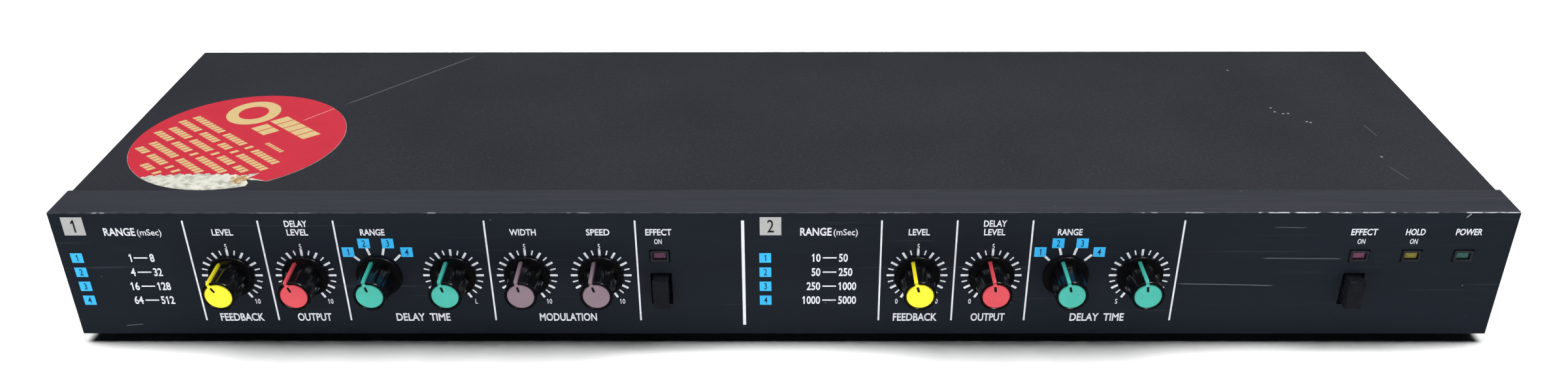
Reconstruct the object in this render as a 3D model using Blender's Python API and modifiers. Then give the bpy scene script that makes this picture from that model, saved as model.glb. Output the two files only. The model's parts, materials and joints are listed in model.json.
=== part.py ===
"""A one-unit-high, half-depth rack effects unit: two delay channels behind one dark panel.

The front faces -Y and +Z is up. The origin is the middle of the object's footprint, on the surface
that the feet stand on. Depths behind the panel's face are measured with depth(), and heights above
the panel's lower edge with height().
"""

import math

import bmesh
import bpy
from mathutils import Matrix

# Driving dimensions, metres
PANEL_WIDTH = 0.442
PANEL_HEIGHT = 0.044
PANEL_SHEET = 0.0022
FLANGE_DEPTH = 0.014
BODY_DEPTH = 0.1226
COVER_WIDTH = 0.4404
COVER_DROP = 0.0003
SHEET = 0.0012
TRAY_BEND = 0.0018
REAR_NOTCH = (0.0025, 0.005)
TOP_LIP = 0.014
SIDE_LIP = 0.012
CHEEK_DEPTH = 0.022
STANDOFFS = [(x, y) for x in (-0.195, -0.045, 0.105) for y in (0.034, 0.088)]
STANDOFF_TOP = 0.009
GAP = 0.0003
SLACK = 0.0004
OVERLAP = 0.001
PANEL_LIFT = 0.003

# Turning controls
KNOB_PITCH = 0.02275
KNOB_HEIGHT = 0.0218
KNOB_FACE = 0.012
KNOB_SIDES = 20
FLUTE_DEPTH = 0.0005
SHAFT_RADIUS = 0.003
SHAFT_REACH = 0.011
DISC_RADIUS = 0.0042
DISC_RECESS = 0.00445
ARM_WIDTH = 0.0014
BUSH_RADIUS = 0.0035
NUT_RADIUS = 0.0055
POT_RADIUS = 0.008
POT_DEPTH = 0.009
SELECTOR_DEPTH = 0.0115

# Lamps and push buttons
LAMP_HEIGHT = 0.0288
LENS_SIZE = (0.0037, 0.0020)
BEZEL_SIZE = (0.0056, 0.0037)
BEZEL_PROUD = 0.0005
LENS_SET_BACK = 0.0002
BUTTON_SIZE = (0.0049, 0.0097)
BUTTON_OPENING = (0.0066, 0.0114)
BUTTON_HEIGHT = 0.01685
BUTTON_PROUD = 0.004
BUTTON_X = (-0.0372, 0.1755)
STEM_SIZE = 0.004
STEM_END = 0.009
SWITCH_FRONT = 0.0065
BOARD_FRONT = 0.017
BOARD_THICKNESS = 0.0016

# Rear connectors
REAR_PROUD = 0.005
JACK_X = (-0.185, -0.155, -0.110, -0.080, -0.035, -0.005)
JACK_HEIGHT = 0.022
JACK_BORE = 0.0033
JACK_NOSE = 0.0060
JACK_BODY = (0.018, 0.018)
JACK_BODY_DEPTH = 0.0258
JACK_FLANGE = (0.024, 0.024)
JACK_FLANGE_PROUD = 0.002
JACK_BORE_DEPTH = 0.027
INLET_X = 0.165
INLET_FLANGE = (0.050, 0.0225)
INLET_BODY = (0.027, 0.0196)
INLET_CAVITY = (0.0246, 0.0170)
INLET_DEPTH = 0.016
INLET_PROUD = 0.0022
INLET_BODY_DEPTH = 0.020
BLADE_SIZE = (0.002, 0.004)
BLADE_PLACES = ((-0.007, -0.002), (0, 0.002), (0.007, -0.002))
BLADE_DEPTH = 0.026
FUSE_X = 0.115
FUSE_RADIUS = 0.006
FUSE_COLLAR = (0.0078, 0.002)
FUSE_DEPTH = 0.026

FOOT_X = 0.185
FOOT_DEPTHS = (0.030, 0.106)
FOOT_RADIUS = 0.008

ROUND_SIDES = 16

# Inside the case: the main board's left, near, right and far edges, and what stands on it
MAIN_BOARD = (-0.205, 0.028, 0.115, 0.094)
CHIP_SIZE = (0.019, 0.0066, 0.0035)
CHIP_PITCH = (0.030, 0.022)
FIRST_CHIP = (-0.180, 0.040)
CAPACITOR = (0.005, 0.012)
CAPACITOR_X = 0.100
CAPACITOR_DEPTHS = (0.038, 0.052, 0.066, 0.080)
CONTROL_BOARD_X = (-0.182, 0.214)
CONTROL_BOARD_HEIGHTS = (0.006, 0.038)
PIN_SPREAD = (-0.005, 0, 0.005)
PIN_SIZE = 0.001
TRANSFORMER_PLACE = (0.165, 0.062)
CORE_SIZE = (0.042, 0.018)
CORE_HEIGHT = 0.034
BOBBIN_SIZE = (0.027, 0.032)
BOBBIN_HEIGHTS = (0.006, 0.028)
STRAP_SIZE = (0.058, 0.012)

# Each control: name, X, rest angle clockwise from upright in degrees, cap colour, stepped selector
LEFT_X = -0.1694
RIGHT_X = 0.0415
YELLOW = (0.95, 0.92, 0.05)
RED = (0.80, 0.12, 0.14)
GREEN = (0.12, 0.58, 0.42)
MAUVE = (0.46, 0.36, 0.44)
LEFT_CONTROLS = (
    ("ch1_feedback", -30, YELLOW, False),
    ("ch1_output", -23, RED, False),
    ("ch1_range", -15, GREEN, True),
    ("ch1_time", -15, GREEN, False),
    ("ch1_width", -13, MAUVE, False),
    ("ch1_speed", -18, MAUVE, False),
)
RIGHT_CONTROLS = (
    ("ch2_feedback", -16, YELLOW, False),
    ("ch2_output", -9, RED, False),
    ("ch2_range", -15, GREEN, True),
    ("ch2_time", -9, GREEN, False),
)
LAMPS = (
    ("ch1_effect", -0.0373, (0.25, 0.03, 0.08)),
    ("ch2_effect", 0.1756, (0.45, 0.02, 0.05)),
    ("hold", 0.1914, (0.35, 0.30, 0.02)),
    ("power", 0.2071, (0.02, 0.16, 0.12)),
)

# The box is the same distance in front of the origin as behind it
FACE_Y = KNOB_FACE - (KNOB_FACE + BODY_DEPTH + REAR_PROUD) / 2
REAR_WALL = BODY_DEPTH - GAP - SHEET
TRAY_HALF_WIDTH = COVER_WIDTH / 2 - SHEET - SLACK
TRAY_FLOOR = PANEL_SHEET + GAP
SUBPANEL_FRONT = PANEL_SHEET + GAP
POT_FRONT = SUBPANEL_FRONT + SHEET + GAP
TOWARDS_VIEWER = Matrix.Rotation(math.radians(90), 4, "X")


def depth(distance):
    """The Y of a plane this far behind the panel's face."""
    return FACE_Y + distance


def height(distance):
    """The Z of a plane this far above the panel's lower edge."""
    return PANEL_LIFT + distance


def clear_scene():
    for obj in list(bpy.data.objects):
        bpy.data.objects.remove(obj, do_unlink=True)


def new_collection(name):
    collection = bpy.data.collections.new(name)
    bpy.context.scene.collection.children.link(collection)
    return collection


def finish_material(name, colour, roughness, metallic):
    material = bpy.data.materials.new(name)
    material.use_nodes = True
    shader = material.node_tree.nodes["Principled BSDF"]
    shader.inputs["Base Color"].default_value = (*colour, 1)
    shader.inputs["Roughness"].default_value = roughness
    shader.inputs["Metallic"].default_value = metallic
    material.diffuse_color = (*colour, 1)
    return material


def place(name, mesh, collection, colour=None, roughness=0.5, metallic=0.0):
    """A new object on this mesh, with its own finish on the object and not on the shared mesh."""
    obj = bpy.data.objects.new(name, mesh)
    collection.objects.link(obj)
    if colour is not None:
        if not mesh.materials:
            mesh.materials.append(None)
        obj.material_slots[0].link = "OBJECT"
        obj.material_slots[0].material = finish_material(name, colour, roughness, metallic)
    return obj


def mesh_of(bm, name):
    mesh = bpy.data.meshes.new(name)
    bm.to_mesh(mesh)
    bm.free()
    return mesh


def helper(name, mesh):
    """A cutter, or a shape to be joined to another: it isn't a part itself."""
    obj = place(name, mesh, HELPERS)
    obj.hide_render = True
    obj.display_type = "WIRE"
    return obj


def combine(target, operation, other):
    modifier = target.modifiers.new(other.name, "BOOLEAN")
    modifier.operation = operation
    modifier.solver = "EXACT"
    modifier.object = other


def baked_mesh(obj):
    """The object's shape with its modifiers applied, for copies that share it."""
    bpy.context.view_layer.update()
    graph = bpy.context.evaluated_depsgraph_get()
    mesh = bpy.data.meshes.new_from_object(obj.evaluated_get(graph))
    obj.hide_render = True
    return mesh


def add_box(bm, low, high):
    size = [far - near for near, far in zip(low, high)]
    middle = [(near + far) / 2 for near, far in zip(low, high)]
    shape = Matrix.Translation(middle) @ Matrix.Diagonal((*size, 1))
    bmesh.ops.create_cube(bm, size=1, matrix=shape)


def add_block(bm, x, z, size, near, far):
    """A box centred on x and z, from depth near to depth far."""
    low = (x - size[0] / 2, depth(near), z - size[1] / 2)
    high = (x + size[0] / 2, depth(far), z + size[1] / 2)
    add_box(bm, low, high)


def add_rod(bm, x, z, radius, near, far, sides=ROUND_SIDES):
    """A cylinder along Y, from depth near to depth far."""
    middle = Matrix.Translation((x, depth((near + far) / 2), z))
    bmesh.ops.create_cone(
        bm, cap_ends=True, segments=sides, radius1=radius, radius2=radius,
        depth=far - near, matrix=middle @ TOWARDS_VIEWER,
    )


def add_post(bm, x, y, radius, low, high, sides=10):
    """A cylinder along Z."""
    middle = Matrix.Translation((x, y, (low + high) / 2))
    bmesh.ops.create_cone(
        bm, cap_ends=True, segments=sides, radius1=radius, radius2=radius,
        depth=high - low, matrix=middle,
    )


def profile_mesh(name, points):
    """An open line through the points."""
    bm = bmesh.new()
    corners = [bm.verts.new(point) for point in points]
    for start, end in zip(corners, corners[1:]):
        bm.edges.new((start, end))
    return mesh_of(bm, name)


def turned_mesh(name, profile, sides=ROUND_SIDES):
    """A solid turned about the local Z axis from (radius, z) points, down its outer side."""
    obj = helper(f"{name}_turning", profile_mesh(name, [(r, 0, z) for r, z in profile]))
    screw = obj.modifiers.new("turn", "SCREW")
    screw.steps = sides
    screw.render_steps = sides
    screw.use_merge_vertices = True
    screw.merge_threshold = 0.00001
    return baked_mesh(obj)


def folded_sheet(name, points, extrusion, thickness, bend, collection, **finish):
    """A line of flats drawn out along a vector and thickened inwards, with rounded bends."""
    bm = bmesh.new()
    corners = [bm.verts.new(point) for point in points]
    edges = [bm.edges.new(pair) for pair in zip(corners, corners[1:])]
    drawn = bmesh.ops.extrude_edge_only(bm, edges=edges)["geom"]
    moved = [item for item in drawn if isinstance(item, bmesh.types.BMVert)]
    bmesh.ops.translate(bm, verts=moved, vec=extrusion)
    obj = place(name, mesh_of(bm, name), collection, **finish)
    if bend:
        bends = obj.modifiers.new("bends", "BEVEL")
        bends.width = bend
        bends.segments = 2
        bends.limit_method = "ANGLE"
    walls = obj.modifiers.new("walls", "SOLIDIFY")
    walls.thickness = thickness
    walls.offset = -1
    walls.use_even_offset = True
    return obj


def outline_mesh(name, points, half_thickness):
    """A flat outline in the local XY plane, thickened along Z both ways."""
    curve = bpy.data.curves.new(name, "CURVE")
    curve.dimensions = "2D"
    curve.fill_mode = "BOTH"
    curve.extrude = half_thickness
    spline = curve.splines.new("POLY")
    spline.points.add(len(points) - 1)
    for point, (x, y) in zip(spline.points, points):
        point.co = (x, y, 0, 1)
    spline.use_cyclic_u = True
    obj = helper(f"{name}_outline", curve)
    mesh = baked_mesh(obj)
    bpy.data.objects.remove(obj)
    bm = bmesh.new()
    bm.from_mesh(mesh)
    bmesh.ops.remove_doubles(bm, verts=bm.verts, dist=0.000001)
    bmesh.ops.recalc_face_normals(bm, faces=bm.faces)
    return mesh_of(bm, name)


def control_places():
    """(name, x, rest angle, colour, stepped) of each turning control, left to right."""
    for start, row in ((LEFT_X, LEFT_CONTROLS), (RIGHT_X, RIGHT_CONTROLS)):
        for index, (name, angle, colour, stepped) in enumerate(row):
            yield name, start + index * KNOB_PITCH, angle, colour, stepped


# Sheet metal and its openings


def add_front_openings(bm, near, far, round_radius):
    """Cutters for the shafts, lamps and buttons, through a sheet between two depths."""
    for _, x, _, _, _ in control_places():
        add_rod(bm, x, height(KNOB_HEIGHT), round_radius, near, far)
    hole = [side + 2 * GAP for side in BEZEL_SIZE]
    for _, x, _ in LAMPS:
        add_block(bm, x, height(LAMP_HEIGHT), hole, near, far)
    for x in BUTTON_X:
        add_block(bm, x, height(BUTTON_HEIGHT), BUTTON_OPENING, near, far)


def make_front_panel():
    half = PANEL_WIDTH / 2
    points = [
        (-half, depth(FLANGE_DEPTH), height(0)),
        (-half, depth(0), height(0)),
        (-half, depth(0), height(PANEL_HEIGHT)),
        (-half, depth(FLANGE_DEPTH), height(PANEL_HEIGHT)),
    ]
    panel = folded_sheet(
        "front_panel", points, (PANEL_WIDTH, 0, 0), PANEL_SHEET, 0, PARTS,
        colour=(0.012, 0.015, 0.020), roughness=0.45, metallic=0.3,
    )
    bm = bmesh.new()
    add_front_openings(bm, -PANEL_SHEET, 2 * PANEL_SHEET, NUT_RADIUS + SLACK)
    combine(panel, "DIFFERENCE", helper("panel_openings", mesh_of(bm, "panel_openings")))


def make_top_cover():
    half = COVER_WIDTH / 2
    top = height(PANEL_HEIGHT - COVER_DROP)
    front = depth(FLANGE_DEPTH + GAP)
    points = [
        (half, front, height(TRAY_FLOOR)),
        (half, front, top),
        (-half, front, top),
        (-half, front, height(TRAY_FLOOR)),
    ]
    length = BODY_DEPTH - FLANGE_DEPTH - GAP
    folded_sheet(
        "top_cover", points, (0, length, 0), SHEET, 0, PARTS,
        colour=(0.040, 0.041, 0.046), roughness=0.5, metallic=0.0,
    )


def add_rear_openings(bm):
    near = REAR_WALL - SHEET
    far = REAR_WALL + 2 * SHEET
    add_rod(bm, FUSE_X, height(JACK_HEIGHT), FUSE_RADIUS + SLACK, near, far)
    for x, body in [(x, JACK_BODY) for x in JACK_X] + [(INLET_X, INLET_BODY)]:
        hole = [side + 2 * SLACK for side in body]
        add_block(bm, x, height(JACK_HEIGHT), hole, near, far)


def make_chassis_tray():
    """Floor, folded front and rear walls with top lips, side lips, front cheeks and standoffs."""
    half = TRAY_HALF_WIDTH
    front_top = height(PANEL_HEIGHT - PANEL_SHEET - GAP)
    rear_top = height(PANEL_HEIGHT - COVER_DROP - SHEET - GAP)
    rear = depth(REAR_WALL + SHEET)
    front = depth(SUBPANEL_FRONT)
    points = [
        (-half, rear - TOP_LIP, rear_top),
        (-half, rear, rear_top),
        (-half, rear, height(TRAY_FLOOR)),
        (-half, front, height(TRAY_FLOOR)),
        (-half, front, front_top),
        (-half, front + TOP_LIP, front_top),
    ]
    tray = folded_sheet(
        "chassis_tray", points, (2 * half, 0, 0), SHEET, TRAY_BEND, PARTS,
        colour=(0.030, 0.031, 0.034), roughness=0.45, metallic=0.2,
    )
    floor_top = height(TRAY_FLOOR + SHEET)
    for side in (-1, 1):
        bm = bmesh.new()
        inner, outer = sorted((side * (half - SHEET), side * half))
        low = (inner, front + SHEET / 2, height(TRAY_FLOOR + SHEET / 2))
        add_box(bm, low, (outer, rear - SHEET / 2, height(TRAY_FLOOR + SIDE_LIP)))
        name = f"side_lip_{'left' if side < 0 else 'right'}"
        combine(tray, "UNION", helper(name, mesh_of(bm, name)))
        bm = bmesh.new()
        add_box(bm, low, (outer, front + CHEEK_DEPTH, front_top - SHEET / 2))
        name = f"cheek_{'left' if side < 0 else 'right'}"
        combine(tray, "UNION", helper(name, mesh_of(bm, name)))
    bm = bmesh.new()
    for x, y in STANDOFFS:
        add_post(bm, x, depth(y), 0.003, floor_top - SHEET / 2, height(STANDOFF_TOP), 8)
    combine(tray, "UNION", helper("standoffs", mesh_of(bm, "standoffs")))
    bm = bmesh.new()
    near = SUBPANEL_FRONT - SHEET
    add_front_openings(bm, near, SUBPANEL_FRONT + 2 * SHEET, BUSH_RADIUS + SLACK)
    add_rear_openings(bm)
    for side in (-1, 1):
        inner, outer = sorted((side * (half - REAR_NOTCH[0]), side * (half + SHEET)))
        low = (inner, depth(FLANGE_DEPTH), rear_top - REAR_NOTCH[1])
        add_box(bm, low, (outer, rear + SHEET, rear_top + SHEET))
    combine(tray, "DIFFERENCE", helper("tray_openings", mesh_of(bm, "tray_openings")))


# Turning controls


def knob_body_mesh():
    """Skirted, fluted knob with its shaft, local Z towards the viewer and Y along the pointer."""
    rim = DISC_RECESS + 0.0003
    profile = [
        (0, KNOB_FACE - 0.0015),
        (DISC_RECESS, KNOB_FACE - 0.0015),
        (DISC_RECESS, KNOB_FACE),
        (rim, KNOB_FACE),
        (0.0050, KNOB_FACE - 0.0005),
        (0.0059, 0.0030),
        (0.0062, 0.0018),
        (0.0071, 0.0013),
        (0.0071, SLACK),
        (SHAFT_RADIUS, SLACK),
        (SHAFT_RADIUS, -SHAFT_REACH),
        (0, -SHAFT_REACH),
    ]
    mesh = turned_mesh("knob_body", profile, KNOB_SIDES)
    for vertex in mesh.vertices:
        x, y, z = vertex.co
        radius = math.hypot(x, y)
        turn = math.degrees(math.atan2(x, y))
        on_barrel = 0.0048 < radius < 0.0060 and 0.002 < z < KNOB_FACE
        in_flute = round(turn / (360 / KNOB_SIDES)) % 2 == 1
        if on_barrel and in_flute:
            vertex.co.x -= FLUTE_DEPTH * x / radius
            vertex.co.y -= FLUTE_DEPTH * y / radius
    body = helper("knob_body_blank", mesh)
    reach = KNOB_FACE + 0.001
    slot = [(0.0041, reach), (0.0041, 0.0103), (0.0049, 0.0016), (0.0085, 0.0016), (0.0085, reach)]
    groove = helper("pointer_groove", outline_mesh("pointer_groove", slot, ARM_WIDTH / 2 + GAP))
    groove.matrix_world = POINTER_PLANE
    combine(body, "DIFFERENCE", groove)
    return baked_mesh(body)


def knob_cap_mesh():
    """Coloured disc with the pointer arm that bends over the rim and down the knob's side."""
    bm = bmesh.new()
    thickness = 0.0015 - GAP
    middle = Matrix.Translation((0, 0, KNOB_FACE - thickness / 2))
    bmesh.ops.create_cone(
        bm, cap_ends=True, segments=20, radius1=DISC_RADIUS, radius2=DISC_RADIUS,
        depth=thickness, matrix=middle,
    )
    disc = helper("knob_disc", mesh_of(bm, "knob_disc"))
    arm = [
        (0.0036, KNOB_FACE - thickness), (0.0044, KNOB_FACE - thickness), (0.0052, 0.0019),
        (0.0063, 0.0019), (0.0053, KNOB_FACE - 0.0007), (0.0047, KNOB_FACE), (0.0036, KNOB_FACE),
    ]
    pointer = helper("pointer_arm", outline_mesh("pointer_arm", arm, ARM_WIDTH / 2))
    pointer.matrix_world = POINTER_PLANE
    combine(disc, "UNION", pointer)
    return baked_mesh(disc)


def control_body_mesh(name, body_depth, radius):
    """Can with its threaded bush and nut, and three pins that reach the control board."""
    back = -(POT_FRONT + body_depth)
    bush_front = -SLACK
    profile = [
        (0, -SHAFT_REACH - SLACK),
        (SHAFT_RADIUS + GAP, -SHAFT_REACH - SLACK),
        (SHAFT_RADIUS + GAP, bush_front),
        (NUT_RADIUS, bush_front),
        (NUT_RADIUS, -PANEL_SHEET),
        (BUSH_RADIUS, -PANEL_SHEET),
        (BUSH_RADIUS, -POT_FRONT),
        (radius, -POT_FRONT),
        (radius, back),
        (0, back),
    ]
    body = helper(f"{name}_blank", turned_mesh(name, profile))
    bm = bmesh.new()
    for x in PIN_SPREAD:
        low = (x - PIN_SIZE / 2, -POT_RADIUS * 0.7, -(BOARD_FRONT - GAP))
        add_box(bm, low, (x + PIN_SIZE / 2, -POT_RADIUS * 0.7 + PIN_SIZE, back + PIN_SIZE / 2))
    combine(body, "UNION", helper(f"{name}_pins", mesh_of(bm, f"{name}_pins")))
    return baked_mesh(body)


def make_controls():
    body = knob_body_mesh()
    cap = knob_cap_mesh()
    pot = control_body_mesh("potentiometer", POT_DEPTH, POT_RADIUS)
    selector = control_body_mesh("selector", SELECTOR_DEPTH, POT_RADIUS + 0.0005)
    for name, x, angle, colour, stepped in control_places():
        centre = Matrix.Translation((x, depth(0), height(KNOB_HEIGHT))) @ TOWARDS_VIEWER
        turned = centre @ Matrix.Rotation(math.radians(-angle), 4, "Z")
        black = (0.012, 0.012, 0.014)
        place(f"{name}_knob", body, PARTS, black, 0.35).matrix_world = turned
        place(f"{name}_cap", cap, PARTS, colour, 0.45).matrix_world = turned
        kind = "selector" if stepped else "pot"
        maker = selector if stepped else pot
        grey = (0.45, 0.45, 0.44)
        place(f"{name}_{kind}", maker, PARTS, grey, 0.35, 0.8).matrix_world = centre


# Lamps and buttons


def make_lamps():
    z = height(LAMP_HEIGHT)
    for name, x, colour in LAMPS:
        bm = bmesh.new()
        add_block(bm, x, z, BEZEL_SIZE, -BEZEL_PROUD, PANEL_SHEET)
        bezel = place(f"{name}_bezel", mesh_of(bm, name), PARTS, (0.02, 0.022, 0.025), 0.4)
        bm = bmesh.new()
        window = [side + 2 * GAP for side in LENS_SIZE]
        add_block(bm, x, z, window, -0.002, 2 * PANEL_SHEET)
        combine(bezel, "DIFFERENCE", helper(f"{name}_window", mesh_of(bm, f"{name}_window")))
        bm = bmesh.new()
        add_block(bm, x, z, LENS_SIZE, LENS_SET_BACK, 0.006)
        lens = place(f"{name}_lamp", mesh_of(bm, f"{name}_lamp"), PARTS, colour, 0.2)
        bm = bmesh.new()
        for side in (-0.00127, 0.00127):
            add_block(bm, x + side, z, (0.0006, 0.0006), 0.005, BOARD_FRONT - GAP)
        combine(lens, "UNION", helper(f"{name}_leads", mesh_of(bm, f"{name}_leads")))


def make_buttons():
    z = height(BUTTON_HEIGHT)
    for index, x in enumerate(BUTTON_X, 1):
        name = f"ch{index}_effect"
        bm = bmesh.new()
        add_block(bm, x, z, BUTTON_SIZE, -BUTTON_PROUD, POT_FRONT)
        button = place(f"{name}_button", mesh_of(bm, name), PARTS, (0.02, 0.021, 0.024), 0.4)
        edge = button.modifiers.new("edges", "BEVEL")
        edge.width = 0.0004
        edge.segments = 2
        bm = bmesh.new()
        add_block(bm, x, z, (STEM_SIZE, STEM_SIZE), 0, STEM_END)
        combine(button, "UNION", helper(f"{name}_stem", mesh_of(bm, f"{name}_stem")))
        bm = bmesh.new()
        add_block(bm, x, z, (0.008, 0.012), SWITCH_FRONT, BOARD_FRONT - GAP)
        switch = place(f"{name}_switch", mesh_of(bm, name), PARTS, (0.1, 0.1, 0.1), 0.5)
        bm = bmesh.new()
        bore = STEM_SIZE + 2 * GAP
        add_block(bm, x, z, (bore, bore), SWITCH_FRONT - 0.001, 0.0135)
        combine(switch, "DIFFERENCE", helper(f"{name}_guide", mesh_of(bm, f"{name}_guide")))


# Inside the case


def make_main_board():
    """Board on the standoffs with two rows of chips and a row of capacitors."""
    low = height(STANDOFF_TOP + GAP)
    top = low + BOARD_THICKNESS
    sunk = top - BOARD_THICKNESS / 3
    left, near, right, far = MAIN_BOARD
    bm = bmesh.new()
    add_box(bm, (left, depth(near), low), (right, depth(far), top))
    board = place("main_board", mesh_of(bm, "main_board"), PARTS, (0.10, 0.22, 0.08), 0.5)
    bm = bmesh.new()
    long, wide, tall = CHIP_SIZE
    for column in range(9):
        for row in range(2):
            x = FIRST_CHIP[0] + column * CHIP_PITCH[0]
            y = depth(FIRST_CHIP[1] + row * CHIP_PITCH[1])
            add_box(bm, (x, y, sunk), (x + long, y + wide, top + tall))
    combine(board, "UNION", helper("chips", mesh_of(bm, "chips")))
    bm = bmesh.new()
    radius, tall = CAPACITOR
    for y in CAPACITOR_DEPTHS:
        add_post(bm, CAPACITOR_X, depth(y), radius, sunk, top + tall)
    combine(board, "UNION", helper("capacitors", mesh_of(bm, "capacitors")))


def make_control_board():
    left, right = CONTROL_BOARD_X
    low, high = CONTROL_BOARD_HEIGHTS
    near, far = depth(BOARD_FRONT), depth(BOARD_FRONT + BOARD_THICKNESS)
    bm = bmesh.new()
    add_box(bm, (left, near, height(low)), (right, far, height(high)))
    place("control_board", mesh_of(bm, "control_board"), PARTS, (0.10, 0.22, 0.08), 0.5)


def add_middle_box(bm, size, low, high):
    """A box this wide and deep, centred on the transformer, between two heights over the tray's floor."""
    x, y = TRANSFORMER_PLACE
    floor = height(TRAY_FLOOR + SHEET + GAP)
    wide, deep = size
    near = (x - wide / 2, depth(y - deep / 2), floor + low)
    add_box(bm, near, (x + wide / 2, depth(y + deep / 2), floor + high))


def make_transformer():
    """Laminated core with its winding bobbin and a mounting foot each side."""
    bm = bmesh.new()
    add_middle_box(bm, CORE_SIZE, 0, CORE_HEIGHT)
    core = place("power_transformer", mesh_of(bm, "core"), PARTS, (0.20, 0.20, 0.21), 0.5, 0.6)
    bm = bmesh.new()
    add_middle_box(bm, BOBBIN_SIZE, *BOBBIN_HEIGHTS)
    combine(core, "UNION", helper("bobbin", mesh_of(bm, "bobbin")))
    bm = bmesh.new()
    add_middle_box(bm, STRAP_SIZE, 0, SHEET)
    combine(core, "UNION", helper("core_strap", mesh_of(bm, "core_strap")))


# Rear connectors


def rear_matrix(x):
    """Local Z points out of the rear, from the outer side of the rear wall."""
    out = Matrix.Rotation(math.radians(-90), 4, "X")
    return Matrix.Translation((x, depth(BODY_DEPTH), height(JACK_HEIGHT))) @ out


def add_sized_box(bm, size, low, high):
    """A box this wide and tall about local Z, from one height to another."""
    wide, tall = size
    add_box(bm, (-wide / 2, -tall / 2, low), (wide / 2, tall / 2, high))


def make_jacks():
    """Quarter-inch sockets: a square flange outside the wall, a round nose and a body through the wall."""
    bm = bmesh.new()
    add_sized_box(bm, JACK_BODY, -JACK_BODY_DEPTH, OVERLAP)
    body = helper("jack_blank", mesh_of(bm, "jack_blank"))
    bm = bmesh.new()
    add_sized_box(bm, JACK_FLANGE, 0, JACK_FLANGE_PROUD)
    combine(body, "UNION", helper("jack_flange", mesh_of(bm, "jack_flange")))
    bm = bmesh.new()
    add_post(bm, 0, 0, JACK_NOSE, JACK_FLANGE_PROUD - OVERLAP, REAR_PROUD, ROUND_SIDES)
    combine(body, "UNION", helper("jack_nose", mesh_of(bm, "jack_nose")))
    bm = bmesh.new()
    low = REAR_PROUD - JACK_BORE_DEPTH
    add_post(bm, 0, 0, JACK_BORE, low, REAR_PROUD + OVERLAP, ROUND_SIDES)
    combine(body, "DIFFERENCE", helper("jack_bore", mesh_of(bm, "jack_bore")))
    mesh = baked_mesh(body)
    names = ("ch1_input", "ch1_output", "ch2_input", "ch2_output", "effect_switch", "hold_switch")
    for name, x in zip(names, JACK_X):
        place(f"{name}_jack", mesh, PARTS, (0.03, 0.03, 0.03), 0.4).matrix_world = rear_matrix(x)


def make_mains_inlet():
    """Three-blade mains inlet, its mouth facing back."""
    x, z = INLET_X, height(JACK_HEIGHT)
    mouth = BODY_DEPTH + INLET_PROUD
    bm = bmesh.new()
    add_block(bm, x, z, INLET_BODY, mouth - INLET_BODY_DEPTH, mouth - OVERLAP)
    inlet = place("mains_inlet", mesh_of(bm, "mains_inlet"), PARTS, (0.015, 0.015, 0.015), 0.4)
    bm = bmesh.new()
    add_block(bm, x, z, INLET_FLANGE, BODY_DEPTH, mouth)
    combine(inlet, "UNION", helper("inlet_flange", mesh_of(bm, "inlet_flange")))
    bm = bmesh.new()
    add_block(bm, x, z, INLET_CAVITY, mouth - INLET_DEPTH, mouth + OVERLAP)
    combine(inlet, "DIFFERENCE", helper("inlet_cavity", mesh_of(bm, "inlet_cavity")))
    bm = bmesh.new()
    for side, raised in BLADE_PLACES:
        add_block(bm, x + side, z + raised, BLADE_SIZE, mouth - BLADE_DEPTH, mouth - OVERLAP)
    combine(inlet, "UNION", helper("inlet_blades", mesh_of(bm, "inlet_blades")))


def make_fuse_holder():
    collar, collar_height = FUSE_COLLAR
    ease = 0.0005
    profile = [
        (0, REAR_PROUD), (FUSE_RADIUS - ease, REAR_PROUD), (FUSE_RADIUS, REAR_PROUD - ease),
        (FUSE_RADIUS, collar_height), (collar, collar_height), (collar, 0), (FUSE_RADIUS, 0),
        (FUSE_RADIUS, -FUSE_DEPTH), (0, -FUSE_DEPTH),
    ]
    mesh = turned_mesh("fuse_holder", profile)
    holder = place("fuse_holder", mesh, PARTS, (0.015, 0.015, 0.015), 0.35)
    holder.matrix_world = rear_matrix(FUSE_X)


def make_feet():
    top = height(TRAY_FLOOR) - GAP
    profile = [(0, top), (FOOT_RADIUS, top), (FOOT_RADIUS - 0.001, 0.0004), (FOOT_RADIUS - 0.0015, 0)]
    mesh = turned_mesh("foot", profile + [(0, 0)])
    for end, y in zip(("front", "rear"), FOOT_DEPTHS):
        for side, x in (("left", -FOOT_X), ("right", FOOT_X)):
            foot = place(f"foot_{end}_{side}", mesh, PARTS, (0.02, 0.02, 0.02), 0.9)
            foot.location = (x, depth(y), 0)


# Local X and Y of an outline become the local Y (along the pointer) and Z of a knob
POINTER_PLANE = Matrix(((0, 0, 1, 0), (1, 0, 0, 0), (0, 1, 0, 0), (0, 0, 0, 1)))

clear_scene()
PARTS = new_collection("rack_effects_unit")
HELPERS = new_collection("helpers")
make_front_panel()
make_top_cover()
make_chassis_tray()
make_controls()
make_lamps()
make_buttons()
make_main_board()
make_control_board()
make_transformer()
make_jacks()
make_mains_inlet()
make_fuse_holder()
make_feet()
for part in PARTS.objects:
    part.data.shade_smooth()
    part.data.set_sharp_from_angle(angle=math.radians(35))
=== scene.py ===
"""The looks of a rack effects unit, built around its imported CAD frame.

Everything is in metres in the frame's own axes: the front faces -Y and +Z is up. Places on the front
panel are given as X and the height above the panel's lower edge, and MM turns millimetres to metres.
"""

import json
import math
import random

import bmesh
import bpy
from mathutils import Matrix, Vector


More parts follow.
